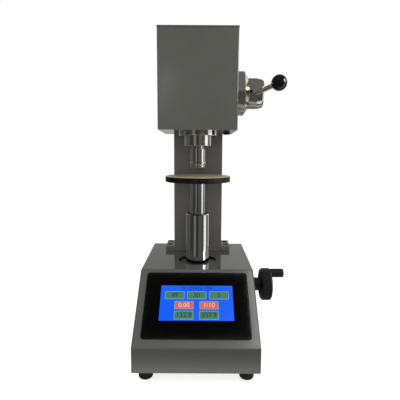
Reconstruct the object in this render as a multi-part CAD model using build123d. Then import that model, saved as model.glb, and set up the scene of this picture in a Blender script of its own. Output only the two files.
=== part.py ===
from build123d import *
import math
import os

# Bench ball-indentation hardness tester.
# Frame: origin on the bench under the test axis, X to the operator's right, Y to the rear, Z up.
# All lengths are in millimetres and all angles in degrees.

# ---- shared clearances and stock ----
running_clearance = 0.05     # radial, shaft in its bush
seat_clearance = 0.03        # radial, spigot in its bore
panel_gap = 0.3              # between sheet panels and what they cover
moving_gap = 0.3             # between faces of different moving bodies
sheet = 2.0                  # sheet steel of the covers
bend_radius = 3.0            # outside radius of the sheet bends

# ---- feet and base housing ----
foot_height = 26.0
foot_diameter = 30.0
foot_side_inset = 25.0       # foot centre from the side of the base
foot_inset = 30.0            # foot centre from the front or rear of the base
foot_recess = 12.0           # depth of the recess for the foot's bolt
frame_bolt = 8.0             # thread of the feet, riser and housing bolts
foot_bolt_length = 20.0
base_front = -212.0
base_rear = 164.0
front_wall_height = 52.0
base_height = 170.2
base_plate_thickness = 8.0
sleeve_hole_diameter = 95.0
wheel_hole_diameter = 26.0
cover_screw = 4.0
cover_screw_length = 12.0
cover_screw_front = 62.0     # first side screw from the base's front
cover_screw_rear = 54.0      # last side screw from the base's rear
rear_screw_spread = 60.0

# ---- column ----
column_width = 129.2
column_depth = 68.6
column_front = 84.3
column_wall = 6.0
column_height = 507.8        # above the base's top
column_cap_thickness = 3.0
column_cap_lip = 8.0
foot_stand_out = 1.25        # foot plate beyond the head's width, each side
column_foot_thickness = 12.3
column_bolt = 8.0
column_bolt_length = 17.0
column_bolt_inset = 9.75     # bolt row from the foot plate's end
column_bolt_pitch = 34.0
column_bolt_shift = 4.7      # bolts behind the column's middle
counterbore_depth = 9.0
cable_hole_diameter = 30.0
riser_wall = 8.0
riser_top_thickness = 12.0
riser_bolt_inset = 17.75     # bolt row from the riser's end
head_bolt_length = 21.0
head_bolt_spread = 30.0
head_bolt_inset = 20.0       # from the lower and upper ends of the back wall

# ---- anvil lift ----
table_diameter = 158.0
table_thickness = 13.6
table_rise = 211.8           # upper face above the base's top, at rest
rod_diameter = 36.0
rod_length = 126.4
screw_diameter = 24.0
screw_length = 155.0
lift_up = 15.0
lift_down = 75.0
sleeve_diameter = 58.0
sleeve_bore = 46.0
sleeve_rise = 118.8          # mouth of the sleeve above the base's top
sleeve_chamfer = 1.5
guide_bush_length = 26.0
wiper_thickness = 4.0
keyway_width = 6.0
keyway_depth = 3.5
key_drop = 15.0              # key below the sleeve's mouth
key_head_diameter = 8.0
key_pin_diameter = 5.4
shank_diameter = 18.0
shank_length = 28.0

# ---- lift housing and bevel drive ----
wheel_axis_drop = 63.2       # below the base's top
housing_diameter = 104.0
housing_bore = 90.0
housing_flange_diameter = 140.0
housing_flange_thickness = 10.0
housing_bolt_circle = 125.0
pedestal_diameter = 48.0
pedestal_bore = 30.0
sleeve_flange_drop = 8.2     # flange's top below the base's top
bearing_gap = 3.0            # between the driven gear's hub and the upper bearing
sleeve_step = 4.0            # between the bearing's seat and the sleeve's
flange_screw = 5.0
flange_screw_circle = 97.0
flange_screw_length = 32.0
nut_drop = 15.0              # nut's lower end below the wheel's axis
nut_stand_out = 8.0          # nut above its bearing
nut_diameter = 36.0
nut_bearing_diameter = 62.0
nut_bearing_width = 12.0
thrust_bearing_diameter = 42.0
thrust_bearing_height = 11.0
gear_module = 2.0
pressure_angle = 20.0
pinion_teeth = 16
gear_teeth = 32
gear_face_width = 11.0
gear_backlash = 0.28         # taken off each tooth's thickness
gear_rim = 3.85              # of the gear blanks, behind the teeth
gear_hub_diameter = 50.0
gear_hub_length = 10.0
pinion_hub_diameter = 24.0
pinion_hub_length = 8.0
wheel_shaft_diameter = 14.0
wheel_shaft_seat = 8.0       # shaft's end inside the wheel's right face
snout_diameter = 34.0
snout_gap = 4.0              # between the snout's end and the base's side
bush_wall = 3.0
bush_flange = 3.0
wheel_bush_length = 20.0
inner_bush_left = 42.0

# ---- handwheel ----
wheel_diameter = 80.0
wheel_stand_off = 30.0       # rim from the base's side
wheel_width = 26.0
wheel_dish = 5.0
wheel_edge = 3.5
wheel_hub_gap = 1.0          # hub from the base's side
wheel_hub_diameter = 33.0
wheel_ridges = 48
wheel_ridge_depth = 1.3
grip_diameter = 22.0
grip_length = 31.6
grip_offset = 29.0
grip_gap = 0.4
grip_pin_diameter = 8.0
grip_head_depth = 4.0
grip_head_diameter = 13.0
grip_head_sink = 1.5

# ---- touch panel ----
bezel_width = 226.0
bezel_height = 150.0
bezel_thickness = 4.0
bezel_corner = 6.0
bezel_bottom = 18.6          # from the lip, along the slope
bezel_top_margin = 10.3      # from the bezel to the knee
bezel_side_margin = 17.0     # from the bezel to the base's side
display_width = 158.0
display_height = 80.6
display_bottom = 55.6
display_recess = 0.6
display_margin = 4.0
display_gap = 0.15
panel_case_inset = 6.5       # rear case inside the bezel's edge, all round
panel_case_depth = 32.0
case_wall = 2.5
clamp_reach = 12.0
clamp_width = 12.0
clamp_inset = 28.5           # from the case's lower and upper sides
clamp_screw_diameter = 5.0

# ---- head ----
head_width = 173.0
head_front = -92.7
head_rise = 316.8            # head's underside above the base's top
head_height = 214.0
head_screw_inset = 35.0
lid_thickness = 3.0
lid_overhang = 0.5
lid_gap = 0.6
lid_lip = 12.0
frame_plate = 12.0
back_plate_width = 124.0
back_plate_thickness = 14.0
back_plate_height = 165.0
cheek_inside = 40.0
cheek_thickness = 10.0
cheek_front = -35.0
cheek_radius = 34.0
grommet_inset = 19.5         # grommet's centre from the head's right side
grommet_y = -20.0
grommet_hole_diameter = 14.0

# ---- nose and spindle ----
nose_flange_diameter = 92.0
nose_flange_thickness = 9.0
collar_diameter = 65.0
collar_length = 24.0
spindle_diameter = 30.0
spindle_bush_wall = 4.0
tip_diameter = 36.6
tip_gap = 6.0                # bare spindle between the collar and the indenter sleeve
tip_length = 32.5
bead_diameter = 38.4
cap_height = 13.5
ball_diameter = 5.0
ball_stand_out = 0.6
spindle_stroke = 3.0
nose_screw_radius = 39.5
nose_screw_length = 12.0
nose_counterbore = 4.6
spigot_diameter = 50.0
stack_diameter = 44.0        # spindle head, washers and load cell
return_spring_height = 10.0
spindle_head_height = 5.0
load_cell_height = 9.0
load_spring_height = 8.0
carriage_height = 8.0
carriage_depth = 32.0
fork_rise = 10.7             # roller's axis above the carriage plate
fork_wall = 6.0
fork_gap = 0.5
sensor_y = -48.0
sensor_diameter = 12.0
sensor_length = 56.0
sensor_post_height = 36.0    # above the sensor's lower end
sensor_arm_low = 18.0
sensor_arm_height = 12.0
plunger_diameter = 4.0
plunger_length = 24.0

# ---- load handle and cam ----
handle_travel = 100.0
handle_shaft_diameter = 20.0
cam_bush_diameter = 28.0
cam_bush_length = 18.0
cam_base_radius = 20.0
cam_width = 16.0
roller_diameter = 16.0
roller_width = 14.0
roller_pin_diameter = 6.0
flange_diameter = 102.0
flange_straight = 21.5
flange_cone = 9.0
flange_spigot_diameter = 60.0
handle_screw_radius = 24.0
handle_counterbore = 6.0
hub_diameter = 71.0
hub_length = 35.2
hub_taper = 16.0
hub_nose_diameter = 63.0
lever_root = (18.8, -34.3, -2.6)     # from the hub's left face on its axis
lever_end = (60.6, -68.3, 12.7)      # the ball's centre, from the same point
lever_root_diameter = 10.0
lever_end_diameter = 11.6
lever_seat = 9.0
ball_knob_diameter = 35.0
ball_knob_flat = 1.6
set_screw_inset = 4.1
set_screw_diameter = 7.0
set_screw_sink = 15.0

# ---- rear electrics ----
inlet_rise = 36.0            # inlet's centre above the cover's lower edge
inlet_width = 27.5
inlet_height = 20.0
inlet_depth = 22.0
inlet_flange = 2.5
inlet_border = 4.5           # flange beyond the body, all round
socket_width = 23.0
socket_height = 15.0
socket_depth = 16.0
pin_spread = 7.0
switch_rise = 71.0           # switch's centre above the cover's lower edge
switch_width = 13.0
switch_height = 19.4
switch_depth = 16.0
switch_flange = 1.8
switch_border = 1.3
rocker_tilt = 10.0
rocker_radius = 8.1
rocker_pivot = 0.5           # behind the rear wall's face
rocker_width = 10.0
rear_fit = 0.2               # gap between each body and its cut-out

# ---- electrics on the base plate ----
supply_width = 48.0
supply_length = 130.0
supply_height = 38.0
supply_side_gap = 6.0        # between the supply and the cover's side
supply_rear_gap = 14.3       # between the supply and the column riser
terminal_length = 12.0
terminal_height = 16.0
board_width = 54.0
board_length = 130.0
board_thickness = 1.6
board_side_gap = 4.0
pillar_height = 18.0
pillar_diameter = 6.0
pillar_inset = 4.0
board_parts = (              # left, right, front, rear and height on the board
    (8.0, 28.0, 20.0, 40.0, 6.0),
    (34.0, 50.0, 30.0, 80.0, 10.0),
    (6.0, 20.0, 90.0, 120.0, 14.0),
)

# ---- sizes that follow from the ones above ----
half_width = bezel_width / 2 + bezel_side_margin
foot_spread = half_width - foot_side_inset
panel_case_width = bezel_width - 2 * panel_case_inset
panel_case_height = bezel_height - 2 * panel_case_inset
base_bottom = foot_height
base_top = base_bottom + base_height
lip_z = base_bottom + front_wall_height
slope_length = bezel_bottom + bezel_height + bezel_top_margin
slope_rise = base_height - front_wall_height
slope_angle = math.degrees(math.asin(slope_rise / slope_length))
knee_y = base_front + slope_length * math.cos(math.radians(slope_angle))
plate_top = base_bottom + base_plate_thickness
foot_ys = (base_front + foot_inset, base_rear - foot_inset)
foot_places = [(x, y) for x in (-foot_spread, foot_spread) for y in foot_ys]
bolt_hole = frame_bolt / 2 + seat_clearance

column_rear = column_front + column_depth
column_middle = (column_front + column_rear) / 2
column_top = base_top + column_height
column_foot_top = base_top + column_foot_thickness
half_foot = head_width / 2 + foot_stand_out
column_bolt_ys = [
    column_middle + column_bolt_shift + side * column_bolt_pitch / 2 for side in (-1, 1)
]
column_bolt_places = [
    (side * (half_foot - column_bolt_inset), y) for side in (-1, 1) for y in column_bolt_ys
]
riser_bolt_places = [
    (x_side * (half_foot - riser_bolt_inset), column_middle + y_side * column_bolt_pitch / 2)
    for x_side in (-1, 1) for y_side in (-1, 1)
]
cable_hole = cable_hole_diameter / 2

wheel_axis_height = base_top - wheel_axis_drop
pinion_pitch = gear_module * pinion_teeth / 2
gear_pitch = gear_module * gear_teeth / 2
cone_distance = math.hypot(pinion_pitch, gear_pitch)
addendum = 0.85 * gear_module
dedendum = 1.1 * gear_module
gear_hub_top = pinion_pitch + dedendum * gear_pitch / cone_distance + gear_hub_length

sleeve_top = base_top + sleeve_rise
sleeve_flange_high = base_top - sleeve_flange_drop
sleeve_flange_low = wheel_axis_height + gear_hub_top + bearing_gap
bearing_ledge = sleeve_flange_low + nut_bearing_width
sleeve_seat = bearing_ledge + sleeve_step
key_height = sleeve_top - key_drop
nut_bottom = wheel_axis_height - nut_drop
nut_top = bearing_ledge + nut_stand_out
pedestal_top = nut_bottom - thrust_bearing_height
table_height = base_top + table_rise
table_bottom = table_height - table_thickness
rod_shoulder = table_bottom - rod_length
screw_bottom = rod_shoulder - screw_length

snout_right = half_width - snout_gap
inner_bush = (inner_bush_left, inner_bush_left + wheel_bush_length)
outer_bush = (snout_right - wheel_bush_length, snout_right)
wheel_left = half_width + wheel_stand_off
wheel_right = wheel_left + wheel_width
grip_height = wheel_axis_height + grip_offset
grip_left = wheel_right + grip_gap
grip_right = grip_left + grip_length

head_bottom = base_top + head_rise
head_top = head_bottom + head_height
cover_top = head_top - lid_thickness - lid_gap
half_head = head_width / 2
frame_top = head_bottom + frame_plate
collar_top = head_bottom - nose_flange_thickness
collar_bottom = collar_top - collar_length
tip_top = collar_bottom - tip_gap
bead_top = tip_top - tip_length
nose_tip = bead_top - cap_height
back_plate_top = frame_top + back_plate_height
head_bolt_places = [
    (x, z)
    for x in (-head_bolt_spread, head_bolt_spread)
    for z in (frame_top + head_bolt_inset, back_plate_top - head_bolt_inset)
]
grommet_x = half_head - grommet_inset
grommet_hole = grommet_hole_diameter / 2
spigot_radius = spigot_diameter / 2

stack_radius = stack_diameter / 2
spindle_head_low = frame_top + return_spring_height
spindle_head_high = spindle_head_low + spindle_head_height
load_cell_high = spindle_head_high + load_cell_height
load_spring_high = load_cell_high + load_spring_height
carriage_high = load_spring_high + carriage_height
roller_z = carriage_high + fork_rise
fork_inside = roller_width / 2 + fork_gap
fork_outside = fork_inside + fork_wall
handle_axis_height = roller_z + roller_diameter / 2 + moving_gap + cam_base_radius

flange_left = half_head
flange_right = flange_left + flange_straight + flange_cone
handle_screw_length = flange_right - handle_counterbore - cheek_inside - 2
hub_left = flange_right + moving_gap
hub_right = hub_left + hub_length
set_screw_x = hub_left + set_screw_inset

inlet_x = -(half_foot + half_width) / 2      # midway between the riser and the cover's side
inlet_z = base_bottom + inlet_rise
switch_z = base_bottom + switch_rise


# ---- small shape helpers ----
def disc(radius, low, high, x=0.0, y=0.0):
    """A vertical cylinder between two heights."""
    return Pos(x, y, (low + high) / 2) * Cylinder(radius, high - low)


def bar_x(radius, left, right, y=0.0, z=0.0):
    """A cylinder along X between two stations."""
    return Pos((left + right) / 2, y, z) * Rot(0, 90, 0) * Cylinder(radius, right - left)


def bar_y(radius, front, rear, x=0.0, z=0.0):
    """A cylinder along Y between two stations."""
    return Pos(x, (front + rear) / 2, z) * Rot(90, 0, 0) * Cylinder(radius, rear - front)


def block(x0, x1, y0, y1, z0, z1):
    """A rectangular block between three pairs of planes."""
    centre = Pos((x0 + x1) / 2, (y0 + y1) / 2, (z0 + z1) / 2)
    return centre * Box(x1 - x0, y1 - y0, z1 - z0)


def turned(*profile):
    """A solid turned about Z from (radius, height) points."""
    return revolve(Plane.XZ * make_face(Polyline(*profile, close=True)), Axis.Z)


def turned_x(*profile, y=0.0, z=0.0):
    """A solid turned about an axis along X from (radius, station) points."""
    return Pos(0, y, z) * Rot(0, 90, 0) * turned(*profile)


def side_plate(profile, x0, x1):
    """A (y, z) outline extruded along X."""
    face = Plane.YZ * make_face(Polyline(*profile, close=True))
    return Pos(x0, 0, 0) * extrude(face, x1 - x0, dir=(1, 0, 0))


def tube(outer, inner, low, high):
    """A vertical tube from its radii and its two heights."""
    return disc(outer, low, high) - disc(inner, low - 1, high + 1)


def socket_screw(diameter, length):
    """A socket-head screw, head upward, with the head's underside at the origin."""
    head = 0.8 * diameter
    body = disc(0.8 * diameter, 0, head) + disc(diameter / 2, -length, 0)
    socket = extrude(RegularPolygon(0.42 * diameter, 6), 0.45 * diameter)
    return body - Pos(0, 0, head - 0.45 * diameter + 0.01) * socket


def hex_bolt(diameter, length):
    """A hexagon-head bolt, head upward, with the head's underside at the origin."""
    head = extrude(RegularPolygon(0.92 * diameter, 6), 0.6 * diameter)
    return head + disc(diameter / 2, -length, 0)


def countersunk_screw(diameter, length, shrink=0.0):
    """A countersunk screw, head face at the origin; shrink thins it all round for its fit."""
    shank = diameter / 2 - shrink
    head = diameter - shrink
    return turned((0, 0), (head, 0), (shank, -diameter / 2), (shank, -length), (0, -length))


def slope_frame(along):
    """A frame on the console's slope: X across, Y up the slope, Z outward."""
    angle = math.radians(slope_angle)
    y = base_front + along * math.cos(angle)
    z = lip_z + along * math.sin(angle)
    return Plane(origin=(0, y, z), x_dir=(1, 0, 0), z_dir=(0, -math.sin(angle), math.cos(angle)))


# ---- feet, plate, cover ----
def rubber_feet():
    """Four moulded feet with rounded lower edges, each recessed for its screw."""
    edge = foot_diameter / 2
    solids = []
    for x, y in foot_places:
        foot = disc(edge, 0, foot_height)
        foot = fillet(foot.edges().group_by(Axis.Z)[0], 4.0)
        foot -= disc(frame_bolt, -1, foot_recess)
        foot -= disc(bolt_hole, 0, foot_height + 1)
        solids.append(Pos(x, y, 0) * foot)
    return solids


def around(radius, *angles):
    """Points on a circle about the origin."""
    turns = [math.radians(a) for a in angles]
    return [(radius * math.cos(t), radius * math.sin(t)) for t in turns]


housing_bolt_places = around(housing_bolt_circle / 2, 45, 135, 225, 315)
sleeve_flange_screw_places = around(flange_screw_circle / 2, 45, 135, 225, 315)
nose_screw_places = around(nose_screw_radius, 30, 150, 210, 330)
handle_flange_screw_places = [
    (y, handle_axis_height + z) for y, z in around(handle_screw_radius, 45, 135, 225, 315)
]


def base_plate():
    """The flat steel plate that closes the housing and carries everything in it."""
    inset = sheet + panel_gap
    plate = block(
        -half_width + inset, half_width - inset, base_front + inset, base_rear - inset,
        base_bottom, plate_top,
    )
    plate = fillet(plate.edges().filter_by(Axis.Z), bend_radius)
    for x, y in foot_places + riser_bolt_places + housing_bolt_places:
        plate -= disc(bolt_hole, 0, plate_top + 1, x, y)
    for place in cover_screw_places():
        plate -= place * countersunk_screw(cover_screw, cover_screw_length + 1)
    return plate


def cover_screw_places():
    """Where the base cover is screwed to the edge of the base plate."""
    z = base_bottom + base_plate_thickness / 2
    first = base_front + cover_screw_front
    last = base_rear - cover_screw_rear
    places = []
    for y in (first, (first + last) / 2, last):
        places.append(Pos(half_width, y, z) * Rot(0, 90, 0))
        places.append(Pos(-half_width, y, z) * Rot(0, -90, 0))
    for x in (-rear_screw_spread, rear_screw_spread):
        places.append(Pos(x, base_rear, z) * Rot(-90, 0, 0))
    return places


def base_cover():
    """The bent sheet housing, open below, with its window, sleeve hole and rear cut-outs."""
    outline = [
        (base_front, base_bottom),
        (base_front, lip_z),
        (knee_y, base_top),
        (base_rear, base_top),
        (base_rear, base_bottom),
    ]
    outer = side_plate(outline, -half_width, half_width)
    floor = outer.faces().sort_by(Axis.Z)[0]
    bends = [e for e in outer.edges() if e not in floor.edges()]
    outer = fillet(bends, bend_radius)
    floor = outer.faces().sort_by(Axis.Z)[0]
    cover = offset(outer, amount=-sheet, openings=floor)
    middle = slope_frame(bezel_bottom + bezel_height / 2)
    cover -= middle.location * Box(panel_case_width + 2, panel_case_height + 2, 20)
    cover -= disc(sleeve_hole_diameter / 2, base_top - 10, base_top + 10)
    for x, y in column_bolt_places:
        cover -= disc(column_bolt / 2 + 1, base_top - 10, base_top + 10, x, y)
    wheel_hole = wheel_hole_diameter / 2
    cover -= bar_x(wheel_hole, half_width - 10, half_width + 10, 0, wheel_axis_height)
    rear = block(-0.5, 0.5, base_rear - 10, base_rear + 10, -0.5, 0.5)
    cover -= Pos(inlet_x, 0, inlet_z) * scale(rear, (inlet_width, 1, inlet_height))
    cover -= Pos(inlet_x, 0, switch_z) * scale(rear, (switch_width, 1, switch_height))
    for place in cover_screw_places():
        cover -= place * countersunk_screw(cover_screw, cover_screw_length)
    return cover


# ---- column ----
def column_riser():
    """The welded box that carries the column's load from the cover's top to the base plate."""
    half = half_foot
    top = base_top - sheet
    riser = block(-half, half, column_front, column_rear, plate_top, top)
    riser -= block(
        -half + riser_wall, half - riser_wall, column_front + riser_wall,
        column_rear - riser_wall, plate_top + riser_wall, top - riser_top_thickness,
    )
    riser -= disc(cable_hole, plate_top, top + 1, 0, column_middle)
    for x, y in riser_bolt_places:
        riser -= disc(bolt_hole, plate_top - 1, plate_top + riser_wall + 1, x, y)
    thread = column_bolt / 2 + seat_clearance
    for x, y in column_bolt_places:
        riser -= disc(thread, top - riser_top_thickness - 1, top + 1, x, y)
    return riser


def column():
    """The box-section column welded to its foot plate."""
    half = column_width / 2
    foot = half_foot
    post = block(-half, half, column_front, column_rear, column_foot_top, column_top)
    post = fillet(post.edges().filter_by(Axis.Z), 2.0)
    plate = block(-foot, foot, column_front, column_rear, base_top, column_foot_top)
    plate = chamfer(plate.edges().filter_by(Axis.Z), 1.0)
    post += plate
    post -= block(
        -half + column_wall, half - column_wall, column_front + column_wall,
        column_rear - column_wall, column_foot_top, column_top + 1,
    )
    post -= disc(cable_hole, base_top - 1, column_foot_top + 1, 0, column_middle)
    low = column_foot_top - counterbore_depth
    for x, y in column_bolt_places:
        post -= disc(column_bolt / 2 + 0.5, base_top - 1, column_foot_top + 1, x, y)
        post -= disc(0.8 * column_bolt + 0.4, low, column_foot_top + 1, x, y)
    for x, z in head_bolt_places:
        radius = column_bolt / 2 + seat_clearance
        post -= bar_y(radius, column_front - 1, column_front + column_wall + 1, x, z)
    return post


def column_cap():
    """The lid on the column's open top, with a lip inside the tube."""
    half = column_width / 2
    cap = block(-half, half, column_front, column_rear, column_top, column_top + column_cap_thickness)
    cap = fillet(cap.edges().filter_by(Axis.Z), 2.0)
    cap = chamfer(cap.edges().group_by(Axis.Z)[-1], 1.0)
    lip = column_wall + panel_gap
    cap += block(
        -half + lip, half - lip, column_front + lip, column_rear - lip,
        column_top - column_cap_lip, column_top,
    )
    lip += column_cap_thickness
    cap -= block(
        -half + lip, half - lip, column_front + lip, column_rear - lip,
        column_top - column_cap_lip - 1, column_top,
    )
    return cap


def column_bolts():
    """Socket-head screws: four hold the column down and four hold the head to its front."""
    screws = []
    for x, y in column_bolt_places:
        seat = Pos(x, y, column_foot_top - counterbore_depth)
        screws.append(seat * socket_screw(column_bolt, column_bolt_length))
    for x, z in head_bolt_places:
        seat = Pos(x, column_front - back_plate_thickness, z) * Rot(90, 0, 0)
        screws.append(seat * socket_screw(column_bolt, head_bolt_length))
    return screws


def frame_bolts():
    """Hexagon bolts: the feet, the column riser and the lift housing."""
    bolts = []
    for x, y in foot_places:
        seat = Pos(x, y, foot_recess) * Rot(180, 0, 0)
        bolts.append(seat * hex_bolt(frame_bolt, foot_bolt_length))
    for x, y in riser_bolt_places:
        seat = Pos(x, y, plate_top + riser_wall)
        bolts.append(seat * hex_bolt(frame_bolt, riser_wall + base_plate_thickness - 1))
    grip = housing_flange_thickness + base_plate_thickness
    for x, y in housing_bolt_places:
        seat = Pos(x, y, plate_top + housing_flange_thickness)
        bolts.append(seat * hex_bolt(frame_bolt, grip - 1))
    return bolts


def cover_screws():
    """Countersunk screws that hold the base cover, the head cover and the head's lid."""
    places = cover_screw_places() + head_screw_places()
    thin = seat_clearance
    return [place * countersunk_screw(cover_screw, cover_screw_length, thin) for place in places]


# ---- lift housing ----
def lift_housing():
    """The cast housing of the bevel drive, with the long snout that carries the wheel shaft."""
    outer = housing_diameter / 2
    bore = housing_bore / 2
    flange = housing_flange_diameter / 2
    low = plate_top + housing_flange_thickness
    body = turned(
        (pedestal_bore / 2, plate_top), (flange, plate_top), (flange, low), (outer + 2, low),
        (outer, low + 2), (outer, sleeve_flange_low), (bore, sleeve_flange_low), (bore, low + 2),
        (pedestal_diameter / 2, low + 2), (pedestal_diameter / 2, pedestal_top),
        (pedestal_bore / 2, pedestal_top),
    )
    snout = snout_diameter / 2
    seat = wheel_shaft_diameter / 2 + bush_wall + seat_clearance
    body += bar_x(snout, bore + 2, snout_right - bush_flange, 0, wheel_axis_height)
    body -= bar_x(seat, bore - 10, snout_right + 1, 0, wheel_axis_height)
    body -= bar_x(snout - 3, bore - 10, inner_bush[0] + bush_flange, 0, wheel_axis_height)
    for x, y in housing_bolt_places:
        body -= disc(bolt_hole, plate_top - 1, low + 1, x, y)
    for place in sleeve_flange_screw_places:
        hole = disc(flange_screw / 2 + seat_clearance, sleeve_flange_low - 12, sleeve_flange_low + 1)
        body -= Pos(*place, 0) * hole
    return body


def sleeve_flange():
    """The turned flange that closes the housing, holds the upper bearing and seats the sleeve."""
    outer = housing_diameter / 2
    bearing = nut_bearing_diameter / 2 + seat_clearance
    sleeve = sleeve_diameter / 2 + seat_clearance
    throat = nut_diameter / 2 + 2.0
    ledge = bearing_ledge
    body = turned(
        (bearing, sleeve_flange_low), (outer, sleeve_flange_low), (outer, sleeve_flange_high - 1),
        (outer - 1, sleeve_flange_high), (sleeve, sleeve_flange_high), (sleeve, sleeve_seat),
        (throat, sleeve_seat), (throat, ledge), (bearing, ledge),
    )
    radius = flange_screw / 2 + 0.3
    for x, y in sleeve_flange_screw_places:
        body -= disc(radius, sleeve_flange_low - 1, sleeve_flange_high + 1, x, y)
    return body


def flange_screws():
    """Socket-head screws of the sleeve flange, the nose flange and the handle flange."""
    screws = []
    for x, y in sleeve_flange_screw_places:
        seat = Pos(x, y, sleeve_flange_high)
        screws.append(seat * socket_screw(flange_screw, flange_screw_length))
    for x, y in nose_screw_places:
        seat = Pos(x, y, head_bottom - nose_flange_thickness + nose_counterbore) * Rot(180, 0, 0)
        screws.append(seat * socket_screw(flange_screw, nose_screw_length))
    for y, z in handle_flange_screw_places:
        seat = Pos(flange_right - handle_counterbore, y, z) * Rot(0, 90, 0)
        screws.append(seat * socket_screw(flange_screw, handle_screw_length))
    return screws


def guide_sleeve():
    """The bright tube that guides the lift rod, chamfered at its mouth."""
    outer = sleeve_diameter / 2
    bore = sleeve_bore / 2
    sleeve = turned(
        (bore, sleeve_seat), (outer, sleeve_seat), (outer, sleeve_top - sleeve_chamfer),
        (outer - sleeve_chamfer, sleeve_top), (bore, sleeve_top),
    )
    radius = key_head_diameter / 2 + seat_clearance
    sleeve -= bar_y(radius, bore - 5, outer + 5, 0, key_height)
    return sleeve


def guide_key():
    """The dog screw whose point runs in the rod's keyway and stops the rod turning."""
    outer = sleeve_diameter / 2
    point = rod_diameter / 2 - keyway_depth + moving_gap
    bush = sleeve_bore / 2
    screw = bar_y(key_head_diameter / 2, bush, outer - 0.5, 0, key_height)
    screw += bar_y(key_pin_diameter / 2, point, bush + 1, 0, key_height)
    slot = block(-4, 4, outer - 1.5, outer, key_height - 0.6, key_height + 0.6)
    return screw - slot


def wiper_seal():
    """The black lip seal at the sleeve's mouth."""
    bore = rod_diameter / 2 + moving_gap
    outer = sleeve_bore / 2 - seat_clearance
    low = sleeve_top - wiper_thickness
    return turned(
        (bore, low), (outer, low), (outer, sleeve_top), (bore + 1, sleeve_top), (bore, sleeve_top - 1),
    )


def bronze_bushes():
    """The plain bearings: rod guide, wheel shaft, spindle and cam shaft."""
    rod = rod_diameter / 2 + running_clearance
    top = sleeve_top - wiper_thickness
    guide = tube(sleeve_bore / 2 - seat_clearance, rod, top - guide_bush_length, top)
    guide -= bar_y(key_pin_diameter / 2 + seat_clearance, rod - 5, sleeve_bore, 0, key_height)
    shaft = wheel_shaft_diameter / 2
    inner = shaft + running_clearance
    outer = shaft + bush_wall
    wide = outer + bush_flange
    left, right = inner_bush
    first = turned_x(
        (inner, left), (wide, left), (wide, left + bush_flange), (outer, left + bush_flange),
        (outer, right), (inner, right), z=wheel_axis_height,
    )
    left, right = outer_bush
    second = turned_x(
        (inner, left), (outer, left), (outer, right - bush_flange), (wide, right - bush_flange),
        (wide, right), (inner, right), z=wheel_axis_height,
    )
    nose = tube(
        spindle_diameter / 2 + spindle_bush_wall, spindle_diameter / 2 + running_clearance,
        collar_bottom + 3, frame_top - 2,
    )
    cam = handle_shaft_diameter / 2 + running_clearance
    cam_outer = cam_bush_diameter / 2
    spans = [
        (cheek_inside, cheek_inside + cheek_thickness),
        (-cheek_inside - cheek_thickness, -cheek_inside),
        (flange_right - cam_bush_length, flange_right),
    ]
    ring = [(cam, cam_outer, *span) for span in spans]
    cams = [
        turned_x((a, left), (b, left), (b, right), (a, right), z=handle_axis_height)
        for a, b, left, right in ring
    ]
    return [guide, first, second, nose, *cams]


def nut_bearings():
    """The thrust bearing under the nut and the ball bearing around its top."""
    screw = screw_diameter / 2 + 0.6
    outer = thrust_bearing_diameter / 2
    third = thrust_bearing_height / 3
    neck = outer - 2.0
    thrust = turned(
        (screw, pedestal_top), (outer, pedestal_top), (outer, pedestal_top + third),
        (neck, pedestal_top + third), (neck, pedestal_top + 2 * third),
        (outer, pedestal_top + 2 * third), (outer, nut_bottom - moving_gap),
        (screw, nut_bottom - moving_gap),
    )
    bore = nut_diameter / 2 + running_clearance
    rim = nut_bearing_diameter / 2
    high = bearing_ledge
    radial = turned(
        (bore, sleeve_flange_low), (bore + 4, sleeve_flange_low), (bore + 4, sleeve_flange_low + 1),
        (rim - 4, sleeve_flange_low + 1), (rim - 4, sleeve_flange_low), (rim, sleeve_flange_low),
        (rim, high), (bore, high),
    )
    return [thrust, radial]


# ---- bevel gears ----

def tooth_outline(teeth, cone_angle):
    """Half thickness of an involute tooth against height, on the back cone at the large end."""
    pitch = gear_module * teeth / 2 / math.cos(cone_angle)
    base = pitch * math.cos(math.radians(pressure_angle))
    involute = math.tan(math.radians(pressure_angle)) - math.radians(pressure_angle)
    half_angle = math.pi * gear_module / 4 / pitch + involute - gear_backlash / 2 / pitch
    steps = []
    for share in (-1.0, -0.4, 0.0, 0.5, 1.0):
        height = share * (addendum if share > 0 else dedendum + 0.3)
        radius = max(pitch + height, base)
        angle = math.acos(base / radius)
        turn = half_angle - (math.tan(angle) - angle)
        steps.append(((pitch + height) * math.sin(turn), (pitch + height) * math.cos(turn) - pitch))
    return steps


def bevel_tooth(teeth, cone_angle):
    """One straight tooth about the Z axis, in the XZ plane, its cone's point at the origin."""
    along = Vector(math.sin(cone_angle), 0, math.cos(cone_angle))
    outward = Vector(math.cos(cone_angle), 0, -math.sin(cone_angle))
    steps = tooth_outline(teeth, cone_angle)
    faces = []
    for distance in (cone_distance, cone_distance - gear_face_width):
        share = distance / cone_distance
        right = [(y * share, h * share) for y, h in steps]
        left = [(-y, h) for y, h in reversed(right)]
        plane = Plane(origin=along * distance, x_dir=(0, 1, 0), z_dir=Vector(0, 1, 0).cross(outward))
        faces.append(plane * make_face(Polyline(*right, *left, close=True)))
    return loft(faces, ruled=True)


def bevel_blank(teeth, cone_angle, bore, hub_radius, hub_reach):
    """The turned body under the teeth, hub on the side away from the cone's point."""
    root_angle = cone_angle - math.atan(dedendum / cone_distance)
    far = cone_distance / math.cos(cone_angle - root_angle)
    near = (cone_distance - gear_face_width) / math.cos(cone_angle - root_angle)
    r_far, z_far = far * math.sin(root_angle), far * math.cos(root_angle)
    r_near, z_near = near * math.sin(root_angle), near * math.cos(root_angle)
    back = z_far + gear_rim
    return turned(
        (bore, z_near), (r_near, z_near), (r_far, z_far), (r_far - 1.0, back), (hub_radius, back),
        (hub_radius, z_far + hub_reach), (bore, z_far + hub_reach),
    )


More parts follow.
